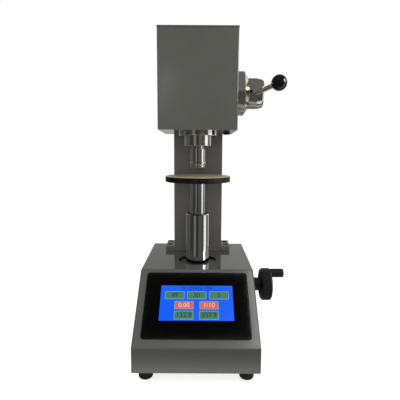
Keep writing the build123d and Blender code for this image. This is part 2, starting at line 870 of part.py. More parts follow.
def bevel_gear(teeth, cone_angle, bore, hub_radius, hub_reach, phase):
    """A straight bevel gear about Z, its cone's point at the origin."""
    gear = bevel_blank(teeth, cone_angle, bore, hub_radius, hub_reach)
    tooth = bevel_tooth(teeth, cone_angle)
    pitch = 360 / teeth
    return gear + [Rot(0, 0, phase + pitch * i) * tooth for i in range(teeth)]


def bevel_pinion():
    """The driving gear on the wheel shaft."""
    angle = math.atan2(pinion_pitch, gear_pitch)
    bore = wheel_shaft_diameter / 2 + seat_clearance
    hub = pinion_hub_diameter / 2
    gear = bevel_gear(pinion_teeth, angle, bore, hub, pinion_hub_length, 0.0)
    return Pos(0, 0, wheel_axis_height) * Rot(0, 90, 0) * gear


def nut_gear():
    """The driven gear around the lift nut, a gap over the pinion's uppermost tooth."""
    angle = math.atan2(gear_pitch, pinion_pitch)
    bore = nut_diameter / 2 + seat_clearance
    half_pitch = 180 / gear_teeth
    hub = gear_hub_diameter / 2
    gear = bevel_gear(gear_teeth, angle, bore, hub, gear_hub_length, half_pitch)
    return Pos(0, 0, wheel_axis_height) * gear


def lift_nut():
    """The bronze nut whose turning drives the screw up and down."""
    bore = screw_diameter / 2 + running_clearance
    outer = nut_diameter / 2
    return turned(
        (bore, nut_bottom), (outer - 1, nut_bottom), (outer, nut_bottom + 1), (outer, nut_top - 1),
        (outer - 1, nut_top), (bore, nut_top),
    )


# ---- lift rod and table ----
def lift_rod():
    """The ground rod above, the lift screw below, a keyway down its back and a bore for the table."""
    rod = rod_diameter / 2
    screw = screw_diameter / 2
    body = turned(
        (0, screw_bottom), (screw - 2, screw_bottom), (screw, screw_bottom + 2),
        (screw, rod_shoulder), (rod - 1, rod_shoulder), (rod, rod_shoulder + 1),
        (rod, table_bottom), (0, table_bottom),
    )
    body -= disc(shank_diameter / 2 + seat_clearance, table_bottom - shank_length - 1, table_bottom + 1)
    keyway_low = key_height - lift_up - key_pin_diameter
    keyway_high = key_height + lift_down + key_pin_diameter
    half = keyway_width / 2
    floor = rod - keyway_depth
    return body - block(-half, half, floor, rod + 1, keyway_low, keyway_high)


def anvil_table():
    """The round work table, chamfered above and below, with the shank that drops in the rod."""
    rim = table_diameter / 2
    shank = shank_diameter / 2
    low = table_bottom - shank_length
    return turned(
        (0, low), (shank - 1, low), (shank, low + 1), (shank, table_bottom), (rim - 1, table_bottom),
        (rim, table_bottom + 1), (rim, table_height - 1.5), (rim - 1.5, table_height), (0, table_height),
    )


# ---- handwheel ----
def wheel_shaft():
    """The shaft from the pinion, through the snout, to the handwheel."""
    radius = wheel_shaft_diameter / 2
    right = wheel_right - wheel_shaft_seat
    left = pinion_pitch + 6.0
    return turned_x(
        (0, left), (radius - 1, left), (radius, left + 1), (radius, right - 1), (radius - 1, right),
        (0, right), z=wheel_axis_height,
    )


def ridged_rim(left, right):
    """The rim with its axial ridges, as one star-shaped prism."""
    outer = wheel_diameter / 2
    radii = (outer, outer - 0.15 * wheel_ridge_depth, outer - wheel_ridge_depth)
    star = []
    for i in range(wheel_ridges):
        for share, radius in ((-0.2, radii[0]), (0.2, radii[0]), (0.5, radii[2])):
            angle = 2 * math.pi * (i + share) / wheel_ridges
            star.append((radius * math.cos(angle), radius * math.sin(angle)))
    prism = extrude(make_face(Polyline(*star, close=True)), right - left)
    return Pos(left, 0, 0) * Rot(0, 90, 0) * prism


def handwheel():
    """The moulded wheel: ridged rim, dished web, hub towards the housing and a boss for the grip."""
    outer = wheel_diameter / 2
    hub = wheel_hub_diameter / 2
    root = outer - wheel_ridge_depth
    edge = wheel_edge
    bore = wheel_shaft_diameter / 2 + seat_clearance
    hub_end = half_width + wheel_hub_gap
    dish = wheel_dish
    body = turned_x(
        (0, hub_end), (hub - 1, hub_end), (hub, hub_end + 1), (hub, wheel_left + dish - 2),
        (hub + 2, wheel_left + dish), (outer - 12, wheel_left + dish), (outer - 10, wheel_left),
        (root - 2.5, wheel_left), (root, wheel_left + edge), (root, wheel_right - edge),
        (root - 2.5, wheel_right), (outer - 10, wheel_right), (outer - 12, wheel_right - dish),
        (hub, wheel_right - dish), (hub - 1, wheel_right - 1), (0, wheel_right - 1),
    )
    body += ridged_rim(wheel_left + edge, wheel_right - edge)
    body += bar_x(grip_diameter / 2 - 0.5, wheel_left + dish, wheel_right, 0, grip_offset)
    body -= bar_x(bore, hub_end - 1, wheel_right - wheel_shaft_seat)
    body -= bar_x(grip_pin_diameter / 2 + seat_clearance, wheel_left, wheel_right + 1, 0, grip_offset)
    return Pos(0, 0, wheel_axis_height) * body


def crank_grip():
    """The revolving grip, rounded at its outer end, bored for its shoulder bolt."""
    radius = grip_diameter / 2
    bore = grip_pin_diameter / 2 + running_clearance
    grip = bar_x(radius, grip_left, grip_right)
    grip = fillet(grip.edges().group_by(Axis.X)[-1], 3.0)
    grip = chamfer(grip.edges().group_by(Axis.X)[0], 0.6)
    grip -= bar_x(bore, grip_left - 1, grip_right + 1)
    counterbore = grip_head_diameter / 2 + moving_gap
    grip -= bar_x(counterbore, grip_right - grip_head_depth - grip_head_sink, grip_right + 1)
    return Pos(0, 0, grip_height) * grip


def grip_pin():
    """The shoulder bolt that the grip turns on."""
    radius = grip_pin_diameter / 2
    seat = grip_right - grip_head_depth - grip_head_sink + moving_gap
    head = grip_head_diameter / 2
    pin = turned_x(
        (0, wheel_left + 8), (radius, wheel_left + 8), (radius, seat), (head, seat),
        (head, seat + grip_head_depth - 0.5), (head - 0.5, seat + grip_head_depth),
        (0, seat + grip_head_depth),
    )
    socket = Rot(0, 90, 0) * extrude(RegularPolygon(2.9, 6), 3.0)
    pin -= Pos(seat + grip_head_depth - 2.5, 0, 0) * socket
    return Pos(0, 0, grip_height) * pin


# ---- touch panel, in the slope's frame ----
def panel_place():
    """The slope's frame at the middle of the bezel."""
    return slope_frame(bezel_bottom + bezel_height / 2).location


display_shift = display_bottom + display_height / 2 - bezel_bottom - bezel_height / 2


def panel_bezel():
    """The moulded front frame with rounded corners and the display's window."""
    bezel = extrude(RectangleRounded(bezel_width, bezel_height, bezel_corner), bezel_thickness)
    bezel = fillet(bezel.edges().group_by(Axis.Z)[-1], 1.2)
    bezel -= Pos(0, display_shift, 0) * Box(display_width, display_height, 20)
    return panel_place() * bezel


def lcd_screen():
    """The display module, its picture area standing in the bezel's window."""
    margin = display_margin
    module = block(
        -display_width / 2 - margin, display_width / 2 + margin,
        -display_height / 2 - margin, display_height / 2 + margin, -6.0, 0.0,
    )
    gap = display_gap
    front = bezel_thickness - display_recess
    module += block(
        -display_width / 2 + gap, display_width / 2 - gap,
        -display_height / 2 + gap, display_height / 2 - gap, 0.0, front,
    )
    return panel_place() * Pos(0, display_shift, 0) * module


def panel_housing():
    """The panel's rear case behind the slope, open towards the bezel."""
    case = extrude(Rectangle(panel_case_width, panel_case_height), -panel_case_depth)
    case = chamfer(case.edges().group_by(Axis.Z)[0], 3.0)
    inner = Rectangle(panel_case_width - 2 * case_wall, panel_case_height - 2 * case_wall)
    case -= extrude(inner, -(panel_case_depth - case_wall - 2))
    return panel_place() * case


def panel_clamps():
    """Four clamps that pull the bezel down on the cover from behind."""
    clamps = []
    half = panel_case_width / 2
    reach = half + clamp_reach
    across = clamp_width / 2
    row = panel_case_height / 2 - clamp_inset
    for y in (-row, row):
        clamp = block(half, reach, y - across, y + across, -20, -11)
        clamp += disc(clamp_screw_diameter / 2, -26, -sheet, reach - 5, y)
        clamps.append(panel_place() * mirror(clamp, Plane.YZ))
        clamps.append(panel_place() * clamp)
    return clamps


# ---- electrics ----
def power_supply():
    """The caged supply unit on the base plate, with its terminal strip."""
    left = sheet + supply_side_gap - half_width
    right = left + supply_width
    rear = column_front - supply_rear_gap
    cage = block(left, right, rear - supply_length, rear, plate_top, plate_top + supply_height)
    cage = chamfer(cage.edges().group_by(Axis.Z)[-1], 1.5)
    strip_top = plate_top + terminal_height
    return cage + block(left + 2, right - 2, rear, rear + terminal_length, plate_top, strip_top)


def control_board():
    """The controller board on its four pillars."""
    right = half_width - sheet - board_side_gap
    left = right - board_width
    rear = column_front - supply_rear_gap
    front = rear - board_length
    low = plate_top + pillar_height
    high = low + board_thickness
    board = block(left, right, front, rear, low, high)
    for x in (left + pillar_inset, right - pillar_inset):
        for y in (front + pillar_inset, rear - pillar_inset):
            board += disc(pillar_diameter / 2, plate_top, low, x, y)
    for x0, x1, y0, y1, tall in board_parts:
        board += block(left + x0, left + x1, front + y0, front + y1, low, high + tall)
    return board


def rear_body(width, height, depth, border, thickness, corner):
    """A body that snaps in the rear wall, with its chamfered flange outside, about X and Z zero."""
    half_w = width / 2 - rear_fit
    half_h = height / 2 - rear_fit
    wide = half_w + border
    tall = half_h + border
    flange = block(-wide, wide, base_rear, base_rear + thickness, -tall, tall)
    flange = chamfer(flange.edges().filter_by(Axis.Y), corner)
    return flange + block(-half_w, half_w, base_rear - depth, base_rear, -half_h, half_h)


def power_inlet():
    """The three-pin inlet: flange outside the rear wall, body within, open shroud with its pins."""
    inlet = rear_body(inlet_width, inlet_height, inlet_depth, inlet_border, inlet_flange, 3.0)
    half_w = socket_width / 2
    half_h = socket_height / 2
    floor = base_rear - socket_depth
    inlet -= block(-half_w, half_w, floor, base_rear + inlet_flange + 1, -half_h, half_h)
    for x, z in ((-pin_spread, -2.0), (pin_spread, -2.0), (0.0, 2.0)):
        inlet += block(x - 1, x + 1, floor - 1, base_rear - 3, z - 2, z + 2)
    return Pos(inlet_x, 0, inlet_z) * inlet


def power_switch():
    """The rocker switch's body, snapped in the rear wall, with its well for the rocker."""
    body = rear_body(switch_width, switch_height, switch_depth, switch_border, switch_flange, 0.8)
    well = rocker_width / 2 + moving_gap
    tall = rocker_radius + moving_gap
    body -= block(-well, well, base_rear - 10, base_rear + 3, -tall, tall)
    return Pos(inlet_x, 0, switch_z) * body


def switch_rocker():
    """The rocker, two shallow faces about its pivot, tilted to its off position."""
    rise = rocker_radius * math.tan(math.radians(rocker_tilt))
    front = 3.4
    outline = [
        (-5.0, -5.0), (-5.0, 5.0), (front + rise, rocker_radius + 1), (front, 0.0),
        (front + rise, -rocker_radius - 1),
    ]
    rocker = side_plate(outline, -rocker_width / 2, rocker_width / 2)
    rocker &= bar_x(rocker_radius, -rocker_width, rocker_width)
    return Pos(inlet_x, base_rear - rocker_pivot, switch_z) * Rot(rocker_tilt, 0, 0) * rocker


# ---- head ----
def head_screw_places():
    """Side screws of the head cover: a pair low into the frame and a pair high into the lid's lip."""
    places = []
    for z in (head_bottom + frame_plate / 2, head_top - lid_thickness - lid_lip / 2):
        for y in (head_front + head_screw_inset, column_front - head_screw_inset):
            places.append(Pos(half_head, y, z) * Rot(0, 90, 0))
            places.append(Pos(-half_head, y, z) * Rot(0, -90, 0))
    return places


def head_frame():
    """The cast frame: base, back wall that bolts to the column, and two cheeks for the cam shaft."""
    inset = sheet + panel_gap
    half = half_head - inset
    rear = column_front
    frame = block(-half, half, head_front + inset, rear - inset, head_bottom, frame_top)
    frame = fillet(frame.edges().filter_by(Axis.Z), bend_radius)
    half_back = back_plate_width / 2
    wall = rear - back_plate_thickness
    frame += block(-half_back, half_back, wall, rear, head_bottom, back_plate_top)
    cheek_top = handle_axis_height + cheek_radius
    cheek = [
        (cheek_front, frame_top - 1), (wall + 1, frame_top - 1), (wall + 1, cheek_top),
        (0, cheek_top), (0, handle_axis_height), (cheek_front, handle_axis_height),
    ]
    for left in (cheek_inside, -cheek_inside - cheek_thickness):
        right = left + cheek_thickness
        frame += side_plate(cheek, left, right)
        frame += bar_x(cheek_radius, left, right, 0, handle_axis_height)
        frame -= bar_x(cam_bush_diameter / 2 + seat_clearance, left - 1, right + 1, 0, handle_axis_height)
    frame -= disc(spigot_radius + seat_clearance, head_bottom - 1, frame_top + 1)
    frame -= disc(grommet_hole, head_bottom - 1, frame_top + 1, grommet_x, grommet_y)
    radius = flange_screw / 2 + seat_clearance
    for x, y in nose_screw_places:
        frame -= disc(radius, head_bottom - 1, head_bottom + 9, x, y)
    for y, z in handle_flange_screw_places:
        frame -= bar_x(radius, cheek_inside + 1, cheek_inside + cheek_thickness + 1, y, z)
    for x, z in head_bolt_places:
        frame -= bar_y(column_bolt / 2 + 0.4, wall - 1, rear + 1, x, z)
    for place in head_screw_places()[:4]:
        frame -= place * countersunk_screw(cover_screw, cover_screw_length + 1)
    return frame


def head_cover():
    """The sheet box around the head, open above and below and behind the frame's back wall."""
    depth = column_front - head_front
    outer = RectangleRounded(head_width, depth, bend_radius)
    inner = RectangleRounded(head_width - 2 * sheet, depth - 2 * sheet, bend_radius - sheet)
    cover = extrude(outer - inner, cover_top - head_bottom)
    cover = Pos(0, head_front + depth / 2, head_bottom) * cover
    window = back_plate_width / 2 + panel_gap
    high = back_plate_top + panel_gap
    cover -= block(-window, window, column_front - 10, column_front + 10, head_bottom - 1, high)
    hole = flange_spigot_diameter / 2 + 1.0
    cover -= bar_x(hole, half_head - 10, half_head + 10, 0, handle_axis_height)
    for place in head_screw_places():
        cover -= place * countersunk_screw(cover_screw, cover_screw_length)
    return cover


def head_lid():
    """The lid, a hair wider than the cover, with a turned-down lip that the side screws hold."""
    low = head_top - lid_thickness
    wide = half_head + lid_overhang
    front = head_front - lid_overhang
    lid = block(-wide, wide, front, column_front, low, head_top)
    lid = fillet(lid.edges().filter_by(Axis.Z), bend_radius - 1)
    lid = chamfer(lid.edges().group_by(Axis.Z)[-1], 0.6)
    inset = sheet + panel_gap
    lip = block(
        -half_head + inset, half_head - inset, head_front + inset, column_front - inset,
        low - lid_lip, low,
    )
    lip = fillet(lip.edges().filter_by(Axis.Z), bend_radius - 1)
    inset += sheet
    lip -= block(
        -half_head + inset, half_head - inset, head_front + inset, column_front - inset,
        low - lid_lip - 1, low,
    )
    lid += lip
    for place in head_screw_places()[4:]:
        lid -= place * countersunk_screw(cover_screw, cover_screw_length + 1)
    return lid


def cable_grommet():
    """The rubber grommet in the head's underside."""
    lip = grommet_hole + 1.5
    neck = grommet_hole - seat_clearance
    body = turned(
        (0, head_bottom - 6.5), (lip - 3, head_bottom - 6.5), (lip, head_bottom - 3.5),
        (lip, head_bottom), (neck, head_bottom), (neck, frame_top), (lip, frame_top),
        (neck - 1, frame_top + 3), (0, frame_top + 3),
    )
    return Pos(grommet_x, grommet_y, 0) * body


# ---- nose ----
def nose_flange():
    """The flange under the head, with the spigot that centres it in the frame."""
    rim = nose_flange_diameter / 2
    bore = spindle_diameter / 2 + spindle_bush_wall + seat_clearance
    low = head_bottom - nose_flange_thickness
    flange = turned(
        (bore, low), (rim - 1, low), (rim, low + 1), (rim, head_bottom), (spigot_radius, head_bottom),
        (spigot_radius, frame_top - 1), (bore, frame_top - 1),
    )
    for x, y in nose_screw_places:
        flange -= disc(flange_screw / 2 + 0.3, low - 1, head_bottom + 1, x, y)
        flange -= disc(0.8 * flange_screw + 0.3, low - 1, low + nose_counterbore, x, y)
    return flange


def nose_collar():
    """The thick collar below the flange that holds the lower end of the spindle's bush."""
    rim = collar_diameter / 2
    bore = spindle_diameter / 2 + spindle_bush_wall + seat_clearance
    mouth = spindle_diameter / 2 + 1.0
    high = head_bottom - nose_flange_thickness
    return turned(
        (mouth, collar_bottom), (rim - 1.2, collar_bottom), (rim, collar_bottom + 1.2), (rim, high),
        (bore, high), (bore, collar_bottom + 3), (mouth, collar_bottom + 3),
    )


def spindle():
    """The main spindle: guided shank, stub for the indenter, and head with the sensor's arm."""
    shank = spindle_diameter / 2
    stub = shank - 5.0
    body = turned(
        (0, bead_top + 1), (stub, bead_top + 1), (stub, tip_top), (shank, tip_top),
        (shank, spindle_head_low), (stack_radius, spindle_head_low),
        (stack_radius, spindle_head_high), (0, spindle_head_high),
    )
    arm = block(-6, 6, sensor_y - 6, 0, spindle_head_low + 1, spindle_head_high)
    return body + fillet(arm.edges().filter_by(Axis.Z), 4.0)


def indenter_sleeve():
    """The bright sleeve on the spindle's stub."""
    outer = tip_diameter / 2
    bore = spindle_diameter / 2 - 5.0 + seat_clearance
    return turned(
        (bore, bead_top), (outer, bead_top), (outer, tip_top - 1), (outer - 1, tip_top), (bore, tip_top),
    )


def ball_cap():
    """The cap nut that traps the ball: rounded bead above, chamfered end ring below."""
    bead = bead_diameter / 2
    ring = tip_diameter / 2 - 0.3
    waist = bead_top - 6.8
    seat = ball_diameter / 2
    centre = nose_tip - ball_stand_out + seat
    cap = turned(
        (0, nose_tip), (ring - 2.0, nose_tip), (ring, nose_tip + 2.0), (ring, waist - 0.6),
        (ring - 0.8, waist), (bead - 0.8, waist), (bead, waist + 1.5), (bead, bead_top - 1.5),
        (bead - 0.8, bead_top), (0, bead_top),
    )
    cap -= Pos(0, 0, centre) * Sphere(seat + seat_clearance)
    return cap - disc(seat, nose_tip - 1, centre)


def indenter_ball():
    """The hardened ball, standing out below the cap."""
    centre = nose_tip - ball_stand_out + ball_diameter / 2
    return Pos(0, 0, centre) * Sphere(ball_diameter / 2)


def coned_washer(low, high, inner, outer, thickness, dish_up):
    """One coned washer between two heights."""
    rise = high - low - thickness
    z_inner, z_outer = (low + rise, low) if dish_up else (low, low + rise)
    return turned(
        (inner, z_inner), (outer, z_outer), (outer, z_outer + thickness), (inner, z_inner + thickness),
    )


def washer_stack(low, high, inner, outer, count, thickness):
    """A stack of coned washers, each turned over from the last."""
    step = (high - low) / count
    return [
        coned_washer(low + step * i, low + step * (i + 1), inner, outer, thickness, i % 2 == 0)
        for i in range(count)
    ]


def return_spring():
    """The light washer stack that lifts the spindle back."""
    return washer_stack(
        frame_top, spindle_head_low, spindle_diameter / 2 + 1, stack_radius, 4, 0.8,
    )


def load_spring():
    """The stiff washer stack between the load cell and the carriage."""
    return washer_stack(load_cell_high, load_spring_high, 8.0, stack_radius, 3, 1.6)


def load_cell():
    """The button load cell on the spindle's head."""
    low, high = spindle_head_high, load_cell_high
    return turned(
        (0, low), (stack_radius, low), (stack_radius, high - 3), (stack_radius - 6, high - 3),
        (stack_radius - 7, high), (0, high),
    )


def load_carriage():
    """The slider between the cheeks: a guided plate with a fork for the cam roller."""
    half = cheek_inside - 0.4
    deep = carriage_depth / 2
    plate = block(-half, half, -deep, deep, load_spring_high, carriage_high)
    plate = fillet(plate.edges().filter_by(Axis.Z), 3.0)
    eye = roller_diameter / 2
    for side in (-1, 1):
        x0, x1 = sorted((side * fork_inside, side * fork_outside))
        plate += block(x0, x1, -eye, eye, carriage_high - 1, roller_z)
        plate += bar_x(eye, x0, x1, 0, roller_z)
    bore = roller_pin_diameter / 2 + seat_clearance
    return plate - bar_x(bore, -fork_outside - 1, fork_outside + 1, 0, roller_z)


def roller_pin():
    """The pin of the cam roller."""
    return bar_x(roller_pin_diameter / 2, -fork_outside, fork_outside, 0, roller_z)


def cam_roller():
    """The roller that the cam presses down."""
    radius = roller_diameter / 2
    half = roller_width / 2
    bore = roller_pin_diameter / 2 + seat_clearance
    return turned_x(
        (bore, -half), (radius - 0.6, -half), (radius, 0.6 - half), (radius, half - 0.6),
        (radius - 0.6, half), (bore, half), z=roller_z,
    )


# ---- depth sensor ----
def depth_sensor():
    """The fixed barrel of the depth sensor, on its post over the spindle's arm."""
    barrel = sensor_diameter / 2
    low = spindle_head_high + barrel
    high = low + sensor_length
    post = sensor_y - 2 * barrel
    sensor = disc(barrel, low, high, 0, sensor_y)
    sensor += block(-barrel, barrel, post - 8, post, frame_top, low + sensor_post_height)
    arm_low = low + sensor_arm_low
    arm_high = arm_low + sensor_arm_height
    sensor += block(-barrel, barrel, post - 8, sensor_y, arm_low, arm_high)
    sensor += block(-barrel - 3, barrel + 3, post - 12, post, frame_top, frame_top + 6)
    bore = plunger_diameter / 2 + running_clearance
    return sensor - disc(bore, low - 1, low + plunger_length, 0, sensor_y)


def sensor_plunger():
    """The plunger that follows the spindle's arm."""
    high = spindle_head_high + plunger_length
    return disc(plunger_diameter / 2, spindle_head_high, high, 0, sensor_y)


# ---- load handle ----
def handle_flange():
    """The polished flange on the head's side: coned shoulder outside, long spigot to the cheek."""
    rim = flange_diameter / 2
    neck = hub_diameter / 2 + 0.5
    spigot = flange_spigot_diameter / 2
    bush = cam_bush_diameter / 2 + seat_clearance
    clear = handle_shaft_diameter / 2 + 1.0
    shoulder = flange_left + flange_straight
    step = flange_right - cam_bush_length
    inner = cheek_inside + cheek_thickness
    flange = turned_x(
        (clear, inner), (spigot, inner), (spigot, flange_left), (rim - 0.8, flange_left),
        (rim, flange_left + 0.8), (rim, shoulder - 1), (rim - 1, shoulder), (neck, flange_right - 0.2),
        (neck - 0.4, flange_right), (bush, flange_right), (bush, step), (clear, step),
        z=handle_axis_height,
    )
    for y, z in handle_flange_screw_places:
        flange -= bar_x(flange_screw / 2 + 0.3, inner - 1, flange_right + 1, y, z)
        seat = flange_right - handle_counterbore
        flange -= bar_x(0.8 * flange_screw + 0.3, seat, flange_right + 1, y, z)
    return flange


def handle_hub():
    """The turned hub of the load handle, tapering to a rounded nose, drilled for lever and screw."""
    rim = hub_diameter / 2
    nose = hub_nose_diameter / 2
    bore = handle_shaft_diameter / 2 + seat_clearance
    taper = hub_right - hub_taper
    hub = turned_x(
        (0, hub_left), (rim - 0.6, hub_left), (rim, hub_left + 0.6), (rim, taper),
        (rim - 2.2, hub_right - 3.5), (nose, hub_right), (0, hub_right), z=handle_axis_height,
    )
    hub -= bar_x(bore, hub_left - 1, hub_right - 5, 0, handle_axis_height)
    hub -= bar_y(set_screw_diameter / 2, -rim - 1, -bore + 2, set_screw_x, handle_axis_height)
    return hub - lever_cone(seat_clearance)


def lever_line():
    """Where the lever leaves the hub, and the ball's centre."""
    hub = Vector(hub_left, 0, handle_axis_height)
    return hub + Vector(*lever_root), hub + Vector(*lever_end)


def lever_cone(extra=0.0):
    """The tapered lever from its seat in the hub to its end in the ball."""
    root, end = lever_line()
    axis = (end - root).normalized()
    start = root - axis * lever_seat
    length = (end - start).length
    small = lever_root_diameter / 2 + extra
    large = lever_end_diameter / 2 + extra
    plane = Plane(origin=start, z_dir=axis)
    return plane * Pos(0, 0, length / 2) * Cone(small, large, length)


def lever_rod():
    """The tapered steel lever."""
    return lever_cone()


def ball_knob():
    """The black ball on the lever, flattened where the lever enters."""
    root, end = lever_line()
    radius = ball_knob_diameter / 2
    plane = Plane(origin=end, z_dir=(root - end).normalized())
    ball = plane * Sphere(radius)
    ball -= plane * disc(radius, radius - ball_knob_flat, radius + 1)
    return ball - lever_cone(seat_clearance)


def hub_set_screw():
    """The set screw sunk in the hub's radial hole."""
    radius = set_screw_diameter / 2 - seat_clearance
    shaft = handle_shaft_diameter / 2
    rim = hub_diameter / 2
    head = set_screw_sink - rim
    screw = bar_y(radius, head, -shaft - 0.1, set_screw_x, handle_axis_height)
    socket = Rot(90, 0, 0) * extrude(RegularPolygon(1.9, 6), 3.0)
    return screw - Pos(set_screw_x, head + 2.5, handle_axis_height) * socket


def handle_shaft():
    """The cam shaft from the left cheek to the hub."""
    radius = handle_shaft_diameter / 2
    left = -cheek_inside - cheek_thickness - 3.0
    right = hub_right - 5.5
    return turned_x(
        (0, left), (radius - 1, left), (radius, left + 1), (radius, right - 1), (radius - 1, right),
        (0, right), z=handle_axis_height,
    )


def load_cam():
    """The constant-rise cam: its radius grows evenly over the handle's travel."""
    margin = 14.0
    rise = spindle_stroke / handle_travel
    steps = 16
    working = [-margin + (handle_travel + 2 * margin) * i / steps for i in range(steps + 1)]
    points = []
    for angle in working:
        radius = cam_base_radius + rise * angle
        points.append((radius * math.sin(math.radians(angle)), -radius * math.cos(math.radians(angle))))
    first, last = points[0], points[-1]
    spiral = [ThreePointArc(*points[i:i + 3]) for i in range(0, steps, 2)]
    back_angle = math.radians((working[0] + working[-1]) / 2 + 180)
    back = (15.0 * math.sin(back_angle), -15.0 * math.cos(back_angle))
    closing = ThreePointArc(last, back, first)
    face = Plane.YZ * make_face([*spiral, closing])
    cam = Pos(-cam_width / 2, 0, handle_axis_height) * extrude(face, cam_width, dir=(1, 0, 0))
    bore = handle_shaft_diameter / 2 + seat_clearance
    return cam - bar_x(bore, -cam_width, cam_width, 0, handle_axis_height)


# ---- write one STEP file for each node ----
NODES = [
    rubber_feet, base_plate, base_cover, cover_screws, frame_bolts,
    column_riser, column, column_cap, column_bolts,
    lift_housing, sleeve_flange, flange_screws, guide_sleeve, guide_key, wiper_seal,
    bronze_bushes, nut_bearings,
    panel_bezel, lcd_screen, panel_housing, panel_clamps,
    power_supply, control_board, power_inlet, power_switch, switch_rocker,
    head_frame, head_cover, head_lid, cable_grommet, handle_flange,
    nose_flange, nose_collar, return_spring, depth_sensor,
    anvil_table, lift_rod, lift_nut, nut_gear,
    handwheel, wheel_shaft, bevel_pinion, grip_pin, crank_grip,
    handle_hub, handle_shaft, load_cam, lever_rod, ball_knob, hub_set_screw,
    spindle, load_cell, load_spring, load_carriage, roller_pin, cam_roller,
    indenter_sleeve, ball_cap, indenter_ball, sensor_plunger,
]

if __name__ == "__main__":
    os.makedirs("parts", exist_ok=True)
    for make in NODES:
        made = make()
        shape = Compound(children=made) if isinstance(made, list) else made
        export_step(shape, f"parts/{make.__name__}.step")
    print(len(NODES), "nodes written")
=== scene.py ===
# %% [markdown]
# # A bench hardness tester, dressed in Blender
# The machine is a sheet-steel base with a sloping touch panel, a box column, a box head with
# a load handle, and a bright screw-driven table under a ball indenter. Its solid parts arrive
# as a fixed frame in metres. This lesson lights them as in a plain studio, gives each of them
# a finish, and adds the small pieces that only the eye needs.

# %% load the frame
import bpy
import bmesh
import math
from mathutils import Matrix, Vector


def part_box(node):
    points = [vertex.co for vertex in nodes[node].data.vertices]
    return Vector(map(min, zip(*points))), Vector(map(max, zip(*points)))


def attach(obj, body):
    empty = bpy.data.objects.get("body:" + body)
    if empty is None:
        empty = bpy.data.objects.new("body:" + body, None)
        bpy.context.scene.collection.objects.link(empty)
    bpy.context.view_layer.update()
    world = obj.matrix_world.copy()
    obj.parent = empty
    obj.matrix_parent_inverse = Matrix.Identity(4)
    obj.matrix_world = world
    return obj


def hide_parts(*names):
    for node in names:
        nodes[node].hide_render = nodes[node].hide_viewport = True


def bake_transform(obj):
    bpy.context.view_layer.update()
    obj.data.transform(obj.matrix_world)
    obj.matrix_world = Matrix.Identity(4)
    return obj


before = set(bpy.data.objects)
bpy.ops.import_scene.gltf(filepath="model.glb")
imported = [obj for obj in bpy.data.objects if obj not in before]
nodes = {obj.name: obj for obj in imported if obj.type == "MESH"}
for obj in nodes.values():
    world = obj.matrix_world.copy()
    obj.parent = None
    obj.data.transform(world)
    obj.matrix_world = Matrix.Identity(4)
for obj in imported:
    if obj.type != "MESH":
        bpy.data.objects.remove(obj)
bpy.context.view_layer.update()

# %% [markdown]
# ## Camera
# The camera stands just above the height of the work table, a little to the right, and looks
# slightly down. It is close, so the base looks wider than the head. A plain lens with a small
# sideways shift keeps the machine upright in the frame; turning the camera would lean it.

# %% camera
LENS_MM = 31.713
CAMERA_PLACE = Vector((0.00785, -0.8657, 0.4606))
PITCH_DOWN = math.radians(7.40)
ROLL = 0.0055
SHIFT_X = -0.0022

scene = bpy.context.scene
camera_data = bpy.data.cameras.new("bench_camera")
camera_data.lens = LENS_MM
camera_data.shift_x = SHIFT_X
camera_data.clip_start = 0.01
camera = bpy.data.objects.new("bench_camera", camera_data)
tilt = Matrix.Rotation(math.pi / 2 - PITCH_DOWN, 4, "X")
camera.matrix_world = Matrix.Translation(CAMERA_PLACE) @ tilt @ Matrix.Rotation(ROLL, 4, "Z")
scene.collection.objects.link(camera)
scene.camera = camera
scene.view_settings.view_transform = "Standard"
print("camera", round(math.hypot(CAMERA_PLACE.x, CAMERA_PLACE.y), 3), "m from the test axis")

# %% [markdown]
# ## A white room
# The backdrop has to be white for the camera and in reflections, but much softer as light, or
# it would wash the paint out. The Light Path node tells the two apart: camera, glossy and
# transmission rays see white at strength 1, and every other ray meets a calm grey.


# %% background that knows who is looking
def feed(tree, socket, value):
    """Puts a number, a colour or another node's output on a socket."""
    if isinstance(value, bpy.types.NodeSocket):
        tree.links.new(value, socket)
    else:
        socket.default_value = value


def add_node(tree, kind, inputs=(), **settings):
    """A new shader node with its settings; inputs pairs socket names or numbers with values."""
    made = tree.nodes.new(kind)
    for key, value in settings.items():
        setattr(made, key, value)
    for socket, value in dict(inputs).items():
        feed(tree, made.inputs[socket], value)
    return made


def looks_back(tree):
    """1 for a camera, glossy or transmission ray, else 0."""
    path = tree.nodes.new("ShaderNodeLightPath")
    answer = path.outputs["Is Camera Ray"]
    for kind in ("Is Glossy Ray", "Is Transmission Ray"):
        pair = {0: answer, 1: path.outputs[kind]}
        answer = add_node(tree, "ShaderNodeMath", pair, operation="MAXIMUM").outputs[0]
    return answer


AMBIENT = 0.62

world = bpy.data.worlds.new("white_room")
world.use_nodes = True
room = world.node_tree
room.nodes.clear()
room_mix = add_node(room, "ShaderNodeMixShader", {0: looks_back(room)})
for socket, strength in ((1, AMBIENT), (2, 1.0)):
    wall = add_node(room, "ShaderNodeBackground", {"Color": (1, 1, 1, 1), "Strength": strength})
    feed(room, room_mix.inputs[socket], wall.outputs[0])
add_node(room, "ShaderNodeOutputWorld", {"Surface": room_mix.outputs[0]})
scene.world = world
print("ambient light", AMBIENT)

# %% [markdown]
# ## The floor
# A wide pale sheet with a rounded rise at the back would show a horizon line, so the sheet is
# simply flat and very large. Its shader adds a little glow for the camera alone: where lamps
# reach it, it goes to clean white, and where the machine keeps them off, a shadow stays. Away
# from the machine the glow takes over altogether, so the sheet's far edge melts into the room.


# %% floor
FLOOR_SIZE = 9.0
FLOOR_COLOUR = (0.80, 0.80, 0.79, 1)
FLOOR_GLOW = 0.68
SHADOW_REACH = (0.45, 1.3)


